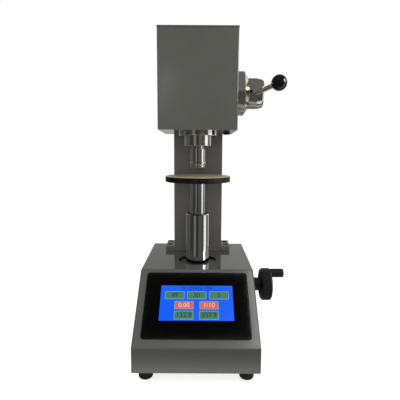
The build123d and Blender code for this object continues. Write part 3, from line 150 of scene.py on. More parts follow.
def shader_material(name):
    """An empty node material: its tree and its output."""
    material = bpy.data.materials.new(name)
    material.use_nodes = True
    material.node_tree.nodes.clear()
    return material, material.node_tree, material.node_tree.nodes.new("ShaderNodeOutputMaterial")


floor_finish, tree, out = shader_material("studio_floor")
seen = looks_back(tree)
matt = add_node(tree, "ShaderNodeBsdfDiffuse", {"Color": FLOOR_COLOUR})
level = add_node(tree, "ShaderNodeMath", {0: seen, 1: FLOOR_GLOW}, operation="MULTIPLY")
glow = add_node(tree, "ShaderNodeEmission", {"Strength": level.outputs[0]})
both = add_node(tree, "ShaderNodeAddShader", {0: matt.outputs[0], 1: glow.outputs[0]})
print("near the machine the floor glows", FLOOR_GLOW)

# %% floor far away
spot = add_node(tree, "ShaderNodeTexCoord").outputs["Object"]
distance = add_node(tree, "ShaderNodeVectorMath", {0: spot}, operation="LENGTH").outputs["Value"]
reach = {"Value": distance, "From Min": SHADOW_REACH[0], "From Max": SHADOW_REACH[1]}
fade_out = add_node(tree, "ShaderNodeMapRange", reach).outputs["Result"]
share = add_node(tree, "ShaderNodeMath", {0: fade_out, 1: seen}, operation="MULTIPLY")
white = add_node(tree, "ShaderNodeEmission")
sides = {0: share.outputs[0], 1: both.outputs[0], 2: white.outputs[0]}
feed(tree, out.inputs["Surface"], add_node(tree, "ShaderNodeMixShader", sides).outputs[0])

floor_mesh = bpy.data.meshes.new("studio_floor")
edge = FLOOR_SIZE / 2
floor_mesh.from_pydata(
    [(-edge, -edge, 0), (edge, -edge, 0), (edge, edge, 0), (-edge, edge, 0)], [], [(0, 1, 2, 3)]
)
floor = bpy.data.objects.new("studio_floor", floor_mesh)
floor.data.materials.append(floor_finish)
scene.collection.objects.link(floor)
print("floor", FLOOR_SIZE, "m wide, white beyond", SHADOW_REACH[1], "m")

# %% [markdown]
# ## What bright metal sees
# Polished metal has no look of its own: it shows the room. In an all-white room a chromed
# tube is a white strip. Photographers stand dark and light screens around such a part, and
# each becomes an upright streak on it. Here a ring of such screens, seen by glossy rays alone,
# carries those bands. Its angle is counted from the front, and a streak lies at half of it.

# %% reflection screens
SCREEN_RADIUS = 3.2
SCREEN_SPLIT = 0.8
SCREEN_HEIGHT = 3.0
RING_STEP = 6
BANDS = (  # from the left rear round the front to the right rear: degrees, brightness
    (-180, 0.53), (-158, 0.26), (-140, 0.17), (-118, 0.09), (-100, 0.13), (-76, 0.055),
    (-42, 0.10), (-30, 0.36), (-20, 0.10), (-10, 0.04), (8, 0.13), (40, 0.09), (54, 0.18),
    (64, 1.50), (92, 0.14), (121, 0.80), (139, 0.20), (158, 0.34), (180, 0.0),
)
HIGH_BANDS = (  # the same ring above the split: calmer, for faces that look up
    (-180, 0.48), (-140, 0.22), (-80, 0.13), (-25, 0.12), (4, 0.22), (62, 0.50), (100, 1.20),
    (145, 0.62), (180, 0.0),
)


def glow_material(name, brightness):
    """A plain glowing card of one brightness."""
    material, card_tree, card_out = shader_material(name)
    card = add_node(card_tree, "ShaderNodeEmission", {"Strength": brightness})
    feed(card_tree, card_out.inputs["Surface"], card.outputs[0])
    return material


def from_front(degrees, radius, z):
    """A point at an angle counted from the front towards the right."""
    turn = math.radians(degrees)
    return Vector((radius * math.sin(turn), -radius * math.cos(turn), z))


class Cards:
    """Glowing faces gathered into one object that only reflections see."""

    def __init__(self, name):
        self.name = name
        self.build = bmesh.new()
        self.mesh = bpy.data.meshes.new(name)

    def add(self, brightness, *faces):
        """Adds faces of one brightness."""
        index = len(self.mesh.materials)
        self.mesh.materials.append(glow_material(f"{self.name}_{index}", brightness))
        for corners in faces:
            made = self.build.faces.new([self.build.verts.new(c) for c in corners])
            made.material_index = index

    def hang(self):
        """Makes the object and hides it from all but glossy rays."""
        self.build.to_mesh(self.mesh)
        self.build.free()
        made = bpy.data.objects.new(self.name, self.mesh)
        scene.collection.objects.link(made)
        for ray in ("camera", "diffuse", "transmission", "shadow", "volume_scatter"):
            setattr(made, f"visible_{ray}", False)


def ring_faces(start, stop, inner, outer):
    """Faces between two angles, from one (radius, height) to another."""
    steps = max(2, round((stop - start) / RING_STEP))
    angles = [start + (stop - start) * i / steps for i in range(steps + 1)]
    faces = []
    for a, b in zip(angles, angles[1:]):
        corners = ((a, inner), (b, inner), (b, outer), (a, outer))
        faces.append([from_front(angle, *place) for angle, place in corners])
    return faces


def add_bands(bands, inner, outer, share=1.0):
    """One card for each band, between two (radius, height) circles."""
    for (start, brightness), (stop, _) in zip(bands, bands[1:]):
        screens.add(share * brightness, *ring_faces(start, stop, inner, outer))


screens = Cards("reflection_screens")
add_bands(BANDS, (SCREEN_RADIUS, 0.0), (SCREEN_RADIUS, SCREEN_SPLIT))
add_bands(HIGH_BANDS, (SCREEN_RADIUS, SCREEN_SPLIT), (SCREEN_RADIUS, SCREEN_HEIGHT))
print(len(BANDS) + len(HIGH_BANDS) - 2, "bands around", SCREEN_RADIUS, "m")

# %% [markdown]
# ## Bench, ceiling and window in reflections
# The camera looks slightly down, so an upright tube mirrors the ground in front of it. The
# bands therefore run on over the ground towards the machine, or the streaks would stop half
# way down the tube. Close in lies the bench top, of one even tone, and a dim ceiling closes
# the room above. A tall window at the right is by far the brightest thing: black gloss mirrors
# only a twentieth of what it sees, so the knob's highlight needs a source this strong.

# %% ground, ceiling and window
BENCH_RADIUS = 0.32
BENCH_GLOW = 0.45
GROUND_SHARE = 0.85
CARD_HEIGHT = 0.002
CORE = 0.001
CEILING_GLOW = 0.18
WINDOW = (61, 83)
WINDOW_GLOW = 18.0
WINDOW_FOOT = 1.05
WINDOW_RADIUS = 3.1

screens.add(BENCH_GLOW, *ring_faces(-180, 180, (CORE, CARD_HEIGHT), (BENCH_RADIUS, CARD_HEIGHT)))
add_bands(BANDS, (BENCH_RADIUS, CARD_HEIGHT), (SCREEN_RADIUS, CARD_HEIGHT), GROUND_SHARE)
ceiling = (CORE, SCREEN_HEIGHT), (SCREEN_RADIUS, SCREEN_HEIGHT)
screens.add(CEILING_GLOW, *ring_faces(-180, 180, *ceiling))
tall = (WINDOW_RADIUS, WINDOW_FOOT), (WINDOW_RADIUS, SCREEN_HEIGHT)
screens.add(WINDOW_GLOW, *ring_faces(*WINDOW, *tall))
print("bench, ground, ceiling and window added")

# %% [markdown]
# ## Cards for single faces
# A flat glossy face mirrors one small patch of the room. To decide what it shows, work
# backwards: reflect the camera in the face, draw its line of sight through a point of the
# face, and carry it on to where a card shall hang. The card then covers exactly that point.


# %% where a face looks
def mirrored_camera(point, normal):
    """The camera's place reflected in a plane."""
    return CAMERA_PLACE - 2 * (CAMERA_PLACE - point).dot(normal) * normal


def patch(points, normal, card_point, card_normal):
    """The spots of a card's plane that these points of a flat face mirror."""
    eye = mirrored_camera(points[0], normal)
    spots = []
    for point in points:
        sight = point - eye
        reach = (card_point - eye).dot(card_normal) / sight.dot(card_normal)
        spots.append(eye + sight * reach)
    return spots


UP = Vector((0, 0, 1))
FORWARD = Vector((0, -1, 0))
HEAD_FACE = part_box("head_cover")[0].y
behind_head = mirrored_camera(Vector((0, HEAD_FACE, 0)), FORWARD)
print("mirrored camera behind the head", tuple(round(v, 2) for v in behind_head))

# %% [markdown]
# ## Streak, black panel and front edge
# Three faces get cards of their own. The head's face has one faint slanted streak low on its
# left. The panel's black frame must mirror something dark, while the paint around it mirrors
# light, so a dark card hangs below a row of strips that grow brighter to the right. The base's
# front grows lighter towards its foot, as it mirrors a bench that is brightest right beside
# it. A dim card above the handle keeps the bright strips out of the hub.

# %% face cards
STREAK = ((-0.050, 0.642), (-0.072, 0.556), (-0.086, 0.556), (-0.083, 0.625))
STREAK_GLOW = 1.9
STREAK_AWAY = 3.1
PANEL_HALF = 0.1160
PANEL_UP = (0.0160, 0.1712)
PANEL_GLOW = 0.012
PANEL_CARD_HEIGHT = 2.96
FRAME_UP = (-0.004, 0.190)
FRAME_STRIP_HEIGHT = 2.98
FRAME_STRIPS = (  # across the slope: place, brightness up to the next place
    (-0.150, 1.1), (-0.105, 1.5), (-0.020, 1.8), (0.030, 2.2), (0.055, 2.6), (0.070, 3.2),
    (0.085, 3.9), (0.098, 4.8), (0.110, 5.8), (0.150, 0.0),
)
LIP = Vector((0.0, -0.212, 0.078))
SLOPE = math.radians(41.35361)
HANDLE_X = (0.095, 0.420)
HANDLE_Y = (-0.200, 0.060)
HANDLE_CARD_HEIGHT = 0.80
HANDLE_GLOW = 0.19
FRONT_STEPS = (  # down the front: height, brightness down to the next height
    (0.078, 0.02), (0.068, 0.15), (0.058, 0.48), (0.048, 1.00), (0.038, 1.55), (0.022, 0.0),
)
FRONT_HALF = 0.135

up_slope = Vector((0, math.cos(SLOPE), math.sin(SLOPE)))
outward = Vector((0, -math.sin(SLOPE), math.cos(SLOPE)))


def corners_of(across, along):
    """The four corners of a rectangle."""
    return [(across[0], along[0]), (across[1], along[0]), (across[1], along[1]), (across[0], along[1])]


def slope_card(left, right, up, brightness, height):
    """A card under the ceiling that one stretch of the slope mirrors."""
    points = []
    for x, rise in corners_of((left, right), up):
        points.append(LIP + Vector((x, 0, 0)) + up_slope * rise)
    screens.add(brightness, patch(points, outward, Vector((0, 0, height)), UP))


points = [Vector((x, HEAD_FACE, z)) for x, z in STREAK]
screens.add(STREAK_GLOW, patch(points, FORWARD, Vector((0, -STREAK_AWAY, 0)), FORWARD))
for (left, brightness), (right, _) in zip(FRAME_STRIPS, FRAME_STRIPS[1:]):
    slope_card(left, right, FRAME_UP, brightness, FRAME_STRIP_HEIGHT)
slope_card(-PANEL_HALF, PANEL_HALF, PANEL_UP, PANEL_GLOW, PANEL_CARD_HEIGHT)
screens.add(HANDLE_GLOW, [(x, y, HANDLE_CARD_HEIGHT) for x, y in corners_of(HANDLE_X, HANDLE_Y)])
for (high, brightness), (low, _) in zip(FRONT_STEPS, FRONT_STEPS[1:]):
    corners = corners_of((-FRONT_HALF, FRONT_HALF), (high, low))
    points = [Vector((x, LIP.y, z)) for x, z in corners]
    screens.add(brightness, patch(points, FORWARD, Vector((0, 0, 2 * CARD_HEIGHT)), UP))
screens.hang()
print("cards for the head, the panel, the handle and the front added")

# %% [markdown]
# ## Lamps
# Two large, soft area lamps: one overhead and in front, so that the sloping panel and the
# base's top are the lightest paint, and a weaker one straight in front, which lifts the head's
# face. They are hidden from glossy rays, because the screens already give the reflections and
# a second set would confuse the streaks.


# %% lamps
def soft_lamp(name, place, target, size, power):
    """A square area lamp aimed at a point."""
    data = bpy.data.lights.new(name, "AREA")
    data.size = size
    data.energy = power
    lamp = bpy.data.objects.new(name, data)
    lamp.location = place
    lamp.rotation_euler = (Vector(target) - Vector(place)).to_track_quat("-Z", "Y").to_euler()
    lamp.visible_glossy = False
    scene.collection.objects.link(lamp)


soft_lamp("top_lamp", (0.2, -0.9, 2.4), (0, 0, 0.3), 1.8, 21)
soft_lamp("front_lamp", (0.0, -2.4, 0.6), (0, 0, 0.4), 1.4, 15)
print("two soft lamps")

# %% [markdown]
# ## A small kit for finishes
# Every finish here is one Principled shader fed by a few textures in the part's own space, so
# nothing needs unwrapping and nothing slides when a part moves. The class keeps the wiring
# short: it makes nodes, layers colours over each other by a mask, and stacks bumps. A value
# that is the same all over is set straight on the shader's socket.


# %% finish kit
class Finish:
    """One material in the making."""

    def __init__(self, name, colour, rough, metal=0.0, specular=0.5, coat=0.0, coat_rough=0.05):
        self.material = bpy.data.materials.new(name)
        self.material.use_nodes = True
        self.tree = self.material.node_tree
        self.shader = self.tree.nodes["Principled BSDF"]
        self.colour = (*colour, 1)
        self.put("Base Color", self.colour)
        self.put("Roughness", rough)
        self.put("Metallic", metal)
        self.put("Specular IOR Level", specular)
        self.put("Coat Weight", coat)
        self.put("Coat Roughness", coat_rough)
        self.place = self.node("ShaderNodeTexCoord").outputs["Object"]
        self.last_bump = None

    def node(self, kind, inputs=(), **settings):
        """A new node in this material."""
        return add_node(self.tree, kind, inputs, **settings)

    def put(self, name, value):
        """Puts a value or a node's output on one of the shader's sockets."""
        feed(self.tree, self.shader.inputs[name], value)

    def math(self, operation, a, b=0.0):
        """One step of arithmetic."""
        return self.node("ShaderNodeMath", {0: a, 1: b}, operation=operation).outputs[0]

    def times(self, a, b):
        """One value multiplied by another."""
        return self.math("MULTIPLY", a, b)

    def stretch(self, x=1.0, y=1.0, z=1.0):
        """The part's space, scaled along each axis."""
        scaling = {"Scale": (x, y, z), "Vector": self.place}
        return self.node("ShaderNodeMapping", scaling).outputs[0]

    def noise(self, scale, detail=3.0, rough=0.55, space=None):
        """Cloudy noise, from 0 to 1; scale is in patches for each metre."""
        cloud = {"Vector": space or self.place, "Scale": scale, "Detail": detail, "Roughness": rough}
        return self.node("ShaderNodeTexNoise", cloud).outputs["Fac"]

    def along(self, axis):
        """The part's own X, Y or Z."""
        return self.node("ShaderNodeSeparateXYZ", {0: self.place}).outputs[axis]

    def fade(self, value, start, stop, low=0.0, high=1.0):
        """Low before start, high after stop, and even between."""
        limits = {"From Min": start, "From Max": stop, "To Min": low, "To Max": high}
        return self.node("ShaderNodeMapRange", {"Value": value, **limits}).outputs[0]

    def mix(self, mask, a, b):
        """Colour b over colour a where the mask is 1."""
        return self.node("ShaderNodeMix", {0: mask, 6: a, 7: b}, data_type="RGBA").outputs[2]

    def paint(self, mask, colour):
        """Lays one more colour over the finish by a mask."""
        self.colour = self.mix(mask, self.colour, (*colour, 1))
        self.put("Base Color", self.colour)

    def cover(self, value, start, stop, share, colour):
        """Lays a colour over the finish by a share, from start to stop of a value."""
        self.paint(self.fade(value, start, stop, 0.0, share), colour)

    def edges(self, radius):
        """1 along convex and concave edges, found with the Bevel node."""
        soft = self.node("ShaderNodeBevel", {"Radius": radius}, samples=3).outputs[0]
        hard = self.node("ShaderNodeNewGeometry").outputs["Normal"]
        dot = self.node("ShaderNodeVectorMath", {0: soft, 1: hard}, operation="DOT_PRODUCT")
        return self.fade(dot.outputs["Value"], 0.995, 0.90)

    def rub_and_highlight(self, radius, share, colour):
        """Another colour along the edges, by a share."""
        self.paint(self.times(self.edges(radius), share), colour)

    def roughen(self, mask, low, high):
        """Roughness from low to high by a mask."""
        self.put("Roughness", self.fade(mask, 0.0, 1.0, low, high))

    def bump(self, height, depth):
        """One more layer of relief, its depth in metres."""
        relief = self.node("ShaderNodeBump", {"Distance": depth, "Height": height})
        if self.last_bump:
            feed(self.tree, relief.inputs["Normal"], self.last_bump)
        self.last_bump = relief.outputs[0]
        self.put("Normal", self.last_bump)


def tone(colour, factor, lift=0.0):
    """A colour made lighter or darker, at most white."""
    return tuple(min(1.0, factor * c + lift) for c in colour)


finishes = {}


def wear(finish, *names):
    """Gives a finish to CAD parts, in every material slot that they have."""
    for name in names:
        part = nodes[name]
        if not part.material_slots:
            part.data.materials.append(None)
        for slot in part.material_slots:
            slot.material = finish.material
        finishes[name] = finish.material.name
    return finish


print("finish kit ready")

# %% [markdown]
# ## Baked enamel on sheet steel
# The covers and the column are sprayed and baked. Enamel is never quite flat: it dries with a
# faint orange peel a few millimetres across, carries dust specks, varies a little in tone, and
# thins on the bends, where a lighter line is painted, partly as the thin paint and partly as a
# painted highlight. Large clouds, fine specks and a mask from the Bevel node give those. The
# base is handled most, so it is the glossiest, and the column is duller than both covers.


# %% enamel
def enamel(name, colour, rough, peel=0.000018, coat=0.0):
    """Sprayed enamel: tone clouds, specks, lighter edges of thin paint and painted highlight, and orange
    peel.
    """
    finish = Finish(name, colour, rough, coat=coat, coat_rough=0.12)
    clouds = finish.noise(9.0, 3.0)
    finish.cover(clouds, 0.35, 0.65, 0.8, tone(colour, 0.90))
    specks = finish.noise(1500.0, 1.0)
    finish.cover(specks, 0.66, 0.74, 0.5, tone(colour, 1.10, 0.004))
    # lighter bends: partly thin paint, partly a painted highlight
    finish.rub_and_highlight(0.0006, 0.55, tone(colour, 1.5, 0.02))
    smears = finish.noise(26.0, 4.0, 0.6, finish.stretch(1.0, 1.0, 0.35))
    finish.roughen(finish.fade(smears, 0.3, 0.7), 0.85 * rough, 1.25 * rough)
    finish.bump(finish.noise(330.0, 2.0), peel)
    finish.bump(specks, 0.4 * peel)
    return finish


# near-black: blackened steel, and also the painted shade in the column's counterbores
OXIDE_AND_SHADE_BLACK = (0.003, 0.003, 0.003)
BOLT_X = 0.0780
BOLT_ROWS = (0.1063, 0.1403)
BORE_RADIUS = 0.0080
BORE_EDGE = 0.0003


def paint_bore_shade(finish):
    """Paints shade into the counterbores of both feet: black within a radius of each bolt's axis."""
    away = finish.math("SUBTRACT", finish.math("ABSOLUTE", finish.along(0)), BOLT_X)
    for y in BOLT_ROWS:
        behind = finish.math("SUBTRACT", finish.along(1), y)
        square = finish.math("ADD", finish.times(away, away), finish.times(behind, behind))
        distance = finish.math("SQRT", square)
        # painted shade: black in each counterbore and in a narrow ring around it
        finish.paint(finish.fade(distance, BORE_RADIUS, BORE_RADIUS - BORE_EDGE), OXIDE_AND_SHADE_BLACK)
    return finish


head_paint = enamel("head_enamel", (0.089, 0.090, 0.079), 0.13, 0.000004)
wear(head_paint, "head_cover", "head_lid", "head_frame")
# painted light: the column's paint is set lighter than the head's to make up for the shade the head casts
# on it
column_paint = enamel("column_enamel", (0.108, 0.104, 0.096), 0.34)
wear(paint_bore_shade(column_paint), "column", "column_cap")
wear(enamel("base_enamel", (0.074, 0.074, 0.065), 0.11, 0.000004), "base_cover")
print("enamel on", len(finishes), "parts")

# %% [markdown]
# ## Castings and plate
# The lift housing and the flange that clamps the sleeve are sand castings in a thin grey
# primer, grainy all over. The plate under the base, the riser and the panel's clamps are rolled
# steel with a dull zinc wash, which shows as long pale streaks along the rolling direction.


# %% castings and plate
def casting(name, colour):
    """Primed sand casting: coarse grain with darker pits."""
    finish = Finish(name, colour, 0.62)
    grain = finish.noise(420.0, 4.0, 0.65)
    finish.cover(grain, 0.42, 0.30, 0.7, tone(colour, 0.55))
    finish.rub_and_highlight(0.001, 0.4, tone(colour, 1.6))
    finish.roughen(grain, 0.5, 0.75)
    finish.bump(grain, 0.00022)
    finish.bump(finish.noise(60.0, 2.0), 0.0004)
    return finish


def rolled_plate(name, colour):
    """Zinc-washed rolled steel: streaks along X."""
    finish = Finish(name, colour, 0.42, metal=0.8)
    streaks = finish.noise(6.0, 5.0, 0.6, finish.stretch(1.0, 28.0, 28.0))
    finish.paint(finish.fade(streaks, 0.4, 0.62), tone(colour, 0.7))
    spangle = finish.noise(110.0, 2.0)
    finish.cover(spangle, 0.55, 0.7, 0.5, tone(colour, 1.25))
    finish.roughen(streaks, 0.30, 0.52)
    finish.bump(streaks, 0.00004)
    return finish


wear(casting("primed_casting", (0.20, 0.21, 0.20)), "lift_housing")
wear(casting("painted_seat", (0.10, 0.10, 0.09)), "sleeve_flange")
wear(rolled_plate("zinc_plate", (0.42, 0.43, 0.42)), "base_plate", "column_riser", "panel_clamps")
print("castings and plates done")

# %% [markdown]
# ## Turned and ground metal
# A lathe leaves a fine spiral that reads as rings, and a grinder finer ones still. Rings about
# an axis are simply noise squeezed very thin along that axis: the pattern then changes only
# from one height to the next. The rings are shallow, so they stretch highlights along the
# part and leave the streaks of the room sharp across it. Faint clouds stand for the skin of
# oil and for fingerprints, and edges are brighter, as where a deburring file ran.


# %% turned metal
RING = 1400.0


def turned_metal(name, colour, rough, axis="Z", cut=0.000004, haze=0.10, edge=0.5):
    """Lathe-turned metal with rings about one axis."""
    finish = Finish(name, colour, rough, metal=1.0)
    squeeze = {"X": (RING, 3.0, 3.0), "Y": (3.0, RING, 3.0), "Z": (3.0, 3.0, RING)}[axis]
    rings = finish.noise(1.0, 4.0, 0.7, finish.stretch(*squeeze))
    clouds = finish.noise(38.0, 4.0, 0.6)
    darker = tone(colour, 0.80)
    finish.paint(finish.fade(clouds, 0.40, 0.68, 0.0, 4.0 * haze), darker)
    finish.cover(rings, 0.45, 0.70, 0.25, darker)
    finish.rub_and_highlight(0.0005, edge, (0.86, 0.85, 0.82))
    haze_mask = finish.math("ADD", finish.times(clouds, 0.6), finish.times(rings, 0.4))
    finish.roughen(haze_mask, 0.75 * rough, 1.35 * rough + haze * 0.4)
    finish.bump(rings, cut)
    return finish


CHROME = (0.64, 0.64, 0.62)
WARM_CHROME = (0.64, 0.63, 0.56)
GROUND = (0.50, 0.50, 0.48)
wear(turned_metal("hard_chrome", CHROME, 0.075, haze=0.05), "guide_sleeve")
wear(turned_metal("warm_chrome", WARM_CHROME, 0.075, haze=0.05), "indenter_sleeve")
wear(turned_metal("turned_nose", WARM_CHROME, 0.10, cut=0.000006, haze=0.06), "nose_flange", "nose_collar")
wear(turned_metal("cap_chrome", WARM_CHROME, 0.09, cut=0.000005), "ball_cap")
wear(turned_metal("ground_spindle", GROUND, 0.16), "spindle", "load_cell")
wear(turned_metal("ground_shaft", GROUND, 0.16, axis="X"), "wheel_shaft", "handle_shaft")
wear(turned_metal("roller_steel", GROUND, 0.12, axis="X"), "roller_pin", "cam_roller")
wear(turned_metal("bearing_steel", (0.56, 0.55, 0.52), 0.14), "nut_bearings")
wear(turned_metal("carbide_ball", (0.42, 0.42, 0.43), 0.06, haze=0.02), "indenter_ball")
wear(turned_metal("sensor_barrel", (0.46, 0.47, 0.48), 0.22), "depth_sensor", "sensor_plunger")
print("turned metal done")

# %% [markdown]
# ## Warm nickel on the load handle
# Flange and hub are nickel plated and polished. Nickel is yellower than chrome, and the rings
# run about the handle's own axis. The tapered lever is plain polished steel.

# %% nickel
NICKEL = (0.58, 0.56, 0.45)
wear(turned_metal("flange_nickel", NICKEL, 0.15, axis="X", haze=0.08), "handle_flange")
wear(turned_metal("hub_nickel", NICKEL, 0.12, axis="X", haze=0.07), "handle_hub")
wear(turned_metal("lever_steel", (0.66, 0.64, 0.59), 0.30, axis="X", haze=0.08), "lever_rod")
print("nickel done")

# %% [markdown]
# ## The work table
# The table is one turned disc with two finishes: its upper face is ground bare and carries the
# rings of the grinder, while rim and underside are blackened in a hot bath. One material does
# both, by the height in the part's own space. The rings on the face are noise in one
# dimension, fed with the distance from the axis.


# %% table
TABLE_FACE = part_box("anvil_table")[1].z
BLACK_FROM = 0.0006
BLACK_FULL = 0.0012


def from_axis(finish):
    """Distance from the test axis."""
    flat = finish.node("ShaderNodeCombineXYZ", {0: finish.along(0), 1: finish.along(1)}).outputs[0]
    return finish.node("ShaderNodeVectorMath", {0: flat}, operation="LENGTH").outputs["Value"]


table = Finish("ground_and_blackened", (0.64, 0.57, 0.35), 0.5, metal=0.5, specular=0.2)
grinding = {"W": from_axis(table), "Scale": 900.0, "Detail": 3.0}
rings = table.node("ShaderNodeTexNoise", grinding, noise_dimensions="1D").outputs["Fac"]
table.cover(rings, 0.42, 0.66, 0.6, (0.41, 0.37, 0.24))
stains = table.noise(30.0, 4.0, 0.6)
table.cover(stains, 0.50, 0.68, 0.5, (0.32, 0.27, 0.16))
black_part = table.fade(table.along(2), TABLE_FACE - BLACK_FROM, TABLE_FACE - BLACK_FULL)
bath = table.fade(table.noise(90.0), 0.4, 0.7)
rim_tone = table.mix(bath, (*OXIDE_AND_SHADE_BLACK, 1), (0.008, 0.008, 0.008, 1))
table.put("Base Color", table.mix(black_part, table.colour, rim_tone))
table.put("Metallic", table.fade(black_part, 0.0, 1.0, 0.5, 0.0))
table.roughen(stains, 0.42, 0.58)
table.bump(rings, 0.000006)
wear(table, "anvil_table")
print("table face at", round(TABLE_FACE, 4), "m")

# %% [markdown]
# ## The lift rod and its thread
# The rod is ground above and has a trapezoid thread below its shoulder, inside the base. A
# modelled thread would be thousands of faces that nobody sees, so it is relief in the
# material: the height rises and falls once for each pitch, shifted by the angle around the
# axis, which turns rings into a true helix.

# %% thread
THREAD_PITCH = 0.005
THREAD_DEPTH = 0.0011
SHOULDER = 0.268
SHOULDER_EDGE = 0.0005

rod = turned_metal("lift_rod_steel", (0.58, 0.58, 0.56), 0.11, haze=0.06)
angle = rod.math("ARCTAN2", rod.along(1), rod.along(0))
turn = rod.math("DIVIDE", angle, 2 * math.pi)
height = rod.math("SUBTRACT", rod.math("DIVIDE", rod.along(2), THREAD_PITCH), turn)
ridge = rod.math("PINGPONG", height, 0.5)
profile = rod.fade(ridge, 0.13, 0.37)
threaded = rod.fade(rod.along(2), SHOULDER + SHOULDER_EDGE, SHOULDER - SHOULDER_EDGE)
rod.paint(rod.times(threaded, rod.fade(profile, 0.6, 0.0)), (0.10, 0.08, 0.05))
rod.bump(rod.times(profile, threaded), THREAD_DEPTH)
wear(rod, "lift_rod")
print("thread pitch", THREAD_PITCH, "m")

# %% [markdown]
# ## Fasteners, gears and springs
# Screws come blackened or zinc plated. Blackening is dark but metallic, with browner clouds
# and bare, brighter edges round the socket where a key has rubbed. Gears and springs are dark
# with oil, and bronze is warm and cloudy.


# %% small metal parts
def blackened(name, colour=(0.035, 0.034, 0.033), rough=0.38, rub_and_highlight=0.5, specular=0.15):
    """Hot-blackened steel with rubbed edges."""
    finish = Finish(name, colour, rough, metal=0.1, specular=specular)
    clouds = finish.noise(240.0, 3.0)
    browner = (1.7 * colour[0], 1.45 * colour[1], 1.2 * colour[2])
    finish.cover(clouds, 0.45, 0.65, 0.7, browner)
    finish.rub_and_highlight(0.0002, rub_and_highlight, (0.09, 0.085, 0.08))
    finish.roughen(clouds, 0.75 * rough, 1.3 * rough)
    finish.bump(finish.noise(1800.0, 2.0), 0.00001)
    return finish


def oiled(name, colour, rough):
    """Machined metal under an uneven film of oil."""
    finish = Finish(name, colour, rough, metal=1.0, coat=0.35, coat_rough=0.08)
    film = finish.noise(75.0, 3.0)
    finish.cover(film, 0.40, 0.62, 0.7, tone(colour, 0.62))
    finish.rub_and_highlight(0.0003, 0.5, tone(colour, 1.5))
    finish.roughen(film, 0.7 * rough, 1.4 * rough)
    finish.bump(finish.noise(900.0, 3.0), 0.000012)
    return finish


wear(blackened("blackened_bolts", OXIDE_AND_SHADE_BLACK, 0.7, 0.1, 0.03), "column_bolts")
wear(blackened("blackened_screws", (0.010, 0.010, 0.010), 0.5), "flange_screws", "hub_set_screw")
wear(blackened("blackened_slots", (0.05, 0.05, 0.05), 0.3), "cover_screws")
wear(oiled("plated_bolts", (0.55, 0.52, 0.42), 0.30), "frame_bolts", "grip_pin", "guide_key")
wear(oiled("gear_steel", (0.30, 0.29, 0.27), 0.26), "bevel_pinion", "nut_gear", "load_cam")
wear(oiled("carriage_steel", (0.42, 0.42, 0.40), 0.28), "load_carriage")
spring_steel = wear(oiled("spring_steel", (0.24, 0.25, 0.29), 0.30), "return_spring", "load_spring")
wear(oiled("bearing_bronze", (0.52, 0.30, 0.13), 0.27), "bronze_bushes")
wear(oiled("nut_bronze", (0.56, 0.34, 0.15), 0.25), "lift_nut")
print("small metal parts done")

# %% [markdown]
# ## Rubber and moulded black
# Black is four different things here. Rubber is dull and dusty and swallows light. The
# handwheel and its grip are moulded with a spark-eroded grain that scatters a wide, weak
# sheen. The ball knob is polished phenolic with a clear, hard gloss. The panel's frame is
# glossy as well, but injection moulded, with a faint ripple and hair scratches.


# %% blacks
def rubber(name):
    """Moulded rubber with bloom and dust."""
    finish = Finish(name, (0.010, 0.010, 0.010), 0.72, specular=0.25)
    dust = finish.noise(140.0, 5.0, 0.7)
    finish.cover(dust, 0.50, 0.75, 0.5, (0.032, 0.030, 0.027))
    finish.rub_and_highlight(0.0008, 0.3, (0.07, 0.068, 0.065))
    finish.roughen(dust, 0.6, 0.85)
    finish.bump(finish.noise(1600.0, 3.0), 0.00003)
    return finish


def moulded(name, black=0.006, rough=0.40):
    """Grained mouldings: fine pits, polished where hands hold them."""
    finish = Finish(name, (black, black, 1.06 * black), rough, specular=0.32)
    worn = finish.noise(45.0, 3.0)
    finish.cover(worn, 0.45, 0.70, 0.6, (1.9 * black, 1.9 * black, 1.9 * black))
    finish.rub_and_highlight(0.0004, 0.4, (0.03, 0.03, 0.03))
    finish.roughen(worn, 0.75 * rough, 1.25 * rough)
    finish.bump(finish.noise(1300.0, 2.0), 0.00003)
    return finish


def polished_black(name, black, rough, ripple):
    """Hard gloss with dust, hair scratches and a faint ripple."""
    finish = Finish(name, (black, black, 1.1 * black), rough, specular=0.45)
    specks = finish.noise(900.0, 2.0)
    finish.cover(specks, 0.68, 0.78, 0.5, (0.02, 0.02, 0.02))
    finish.rub_and_highlight(0.0005, 0.25, (0.02, 0.02, 0.022))
    scratches = finish.noise(3.0, 2.0, 0.5, finish.stretch(300.0, 9.0, 60.0))
    finish.roughen(finish.fade(scratches, 0.55, 0.70), rough, rough + 0.06)
    finish.bump(finish.noise(55.0, 2.0), ripple)
    return finish


wear(rubber("foot_rubber"), "rubber_feet")
wear(rubber("seal_rubber"), "wiper_seal", "cable_grommet")
wear(moulded("handwheel_moulding"), "handwheel", "crank_grip")
wear(moulded("case_moulding", 0.016, 0.5), "panel_housing")
wear(moulded("nylon", 0.014, 0.36), "power_switch", "switch_rocker")
wear(polished_black("phenolic_gloss", 0.003, 0.03, 0.00001), "ball_knob")
wear(polished_black("bezel_gloss", 0.0016, 0.045, 0.000008), "panel_bezel")
print("four blacks done")

# %% [markdown]
# ## Electrics in the base
# Nobody sees these with the cover on, yet they are part of the model. The supply's cage is
# pierced sheet: a Voronoi texture with no randomness is an even grid of dots, painted
# near-black as painted shade in the holes. The board has green lacquer with tracks, from the
# edges between Voronoi cells, and dark chips above it. The inlet's pins are brass, told from
# the nylon by their place inside its socket.

# %% electrics
cage = Finish("pierced_cage", (0.50, 0.51, 0.50), 0.36, metal=0.9)
grid = cage.node("ShaderNodeTexVoronoi", {"Vector": cage.place, "Scale": 150.0, "Randomness": 0.0})
hole_shade = cage.fade(grid.outputs["Distance"], 0.46, 0.38)
cage.cover(cage.noise(70.0), 0.4, 0.65, 0.6, (0.38, 0.39, 0.40))
# painted shade: near-black in each hole of the cage
cage.paint(hole_shade, (0.01, 0.01, 0.01))
cage.roughen(cage.noise(120.0), 0.28, 0.48)
cage.bump(hole_shade, -0.0006)
wear(cage, "power_supply")

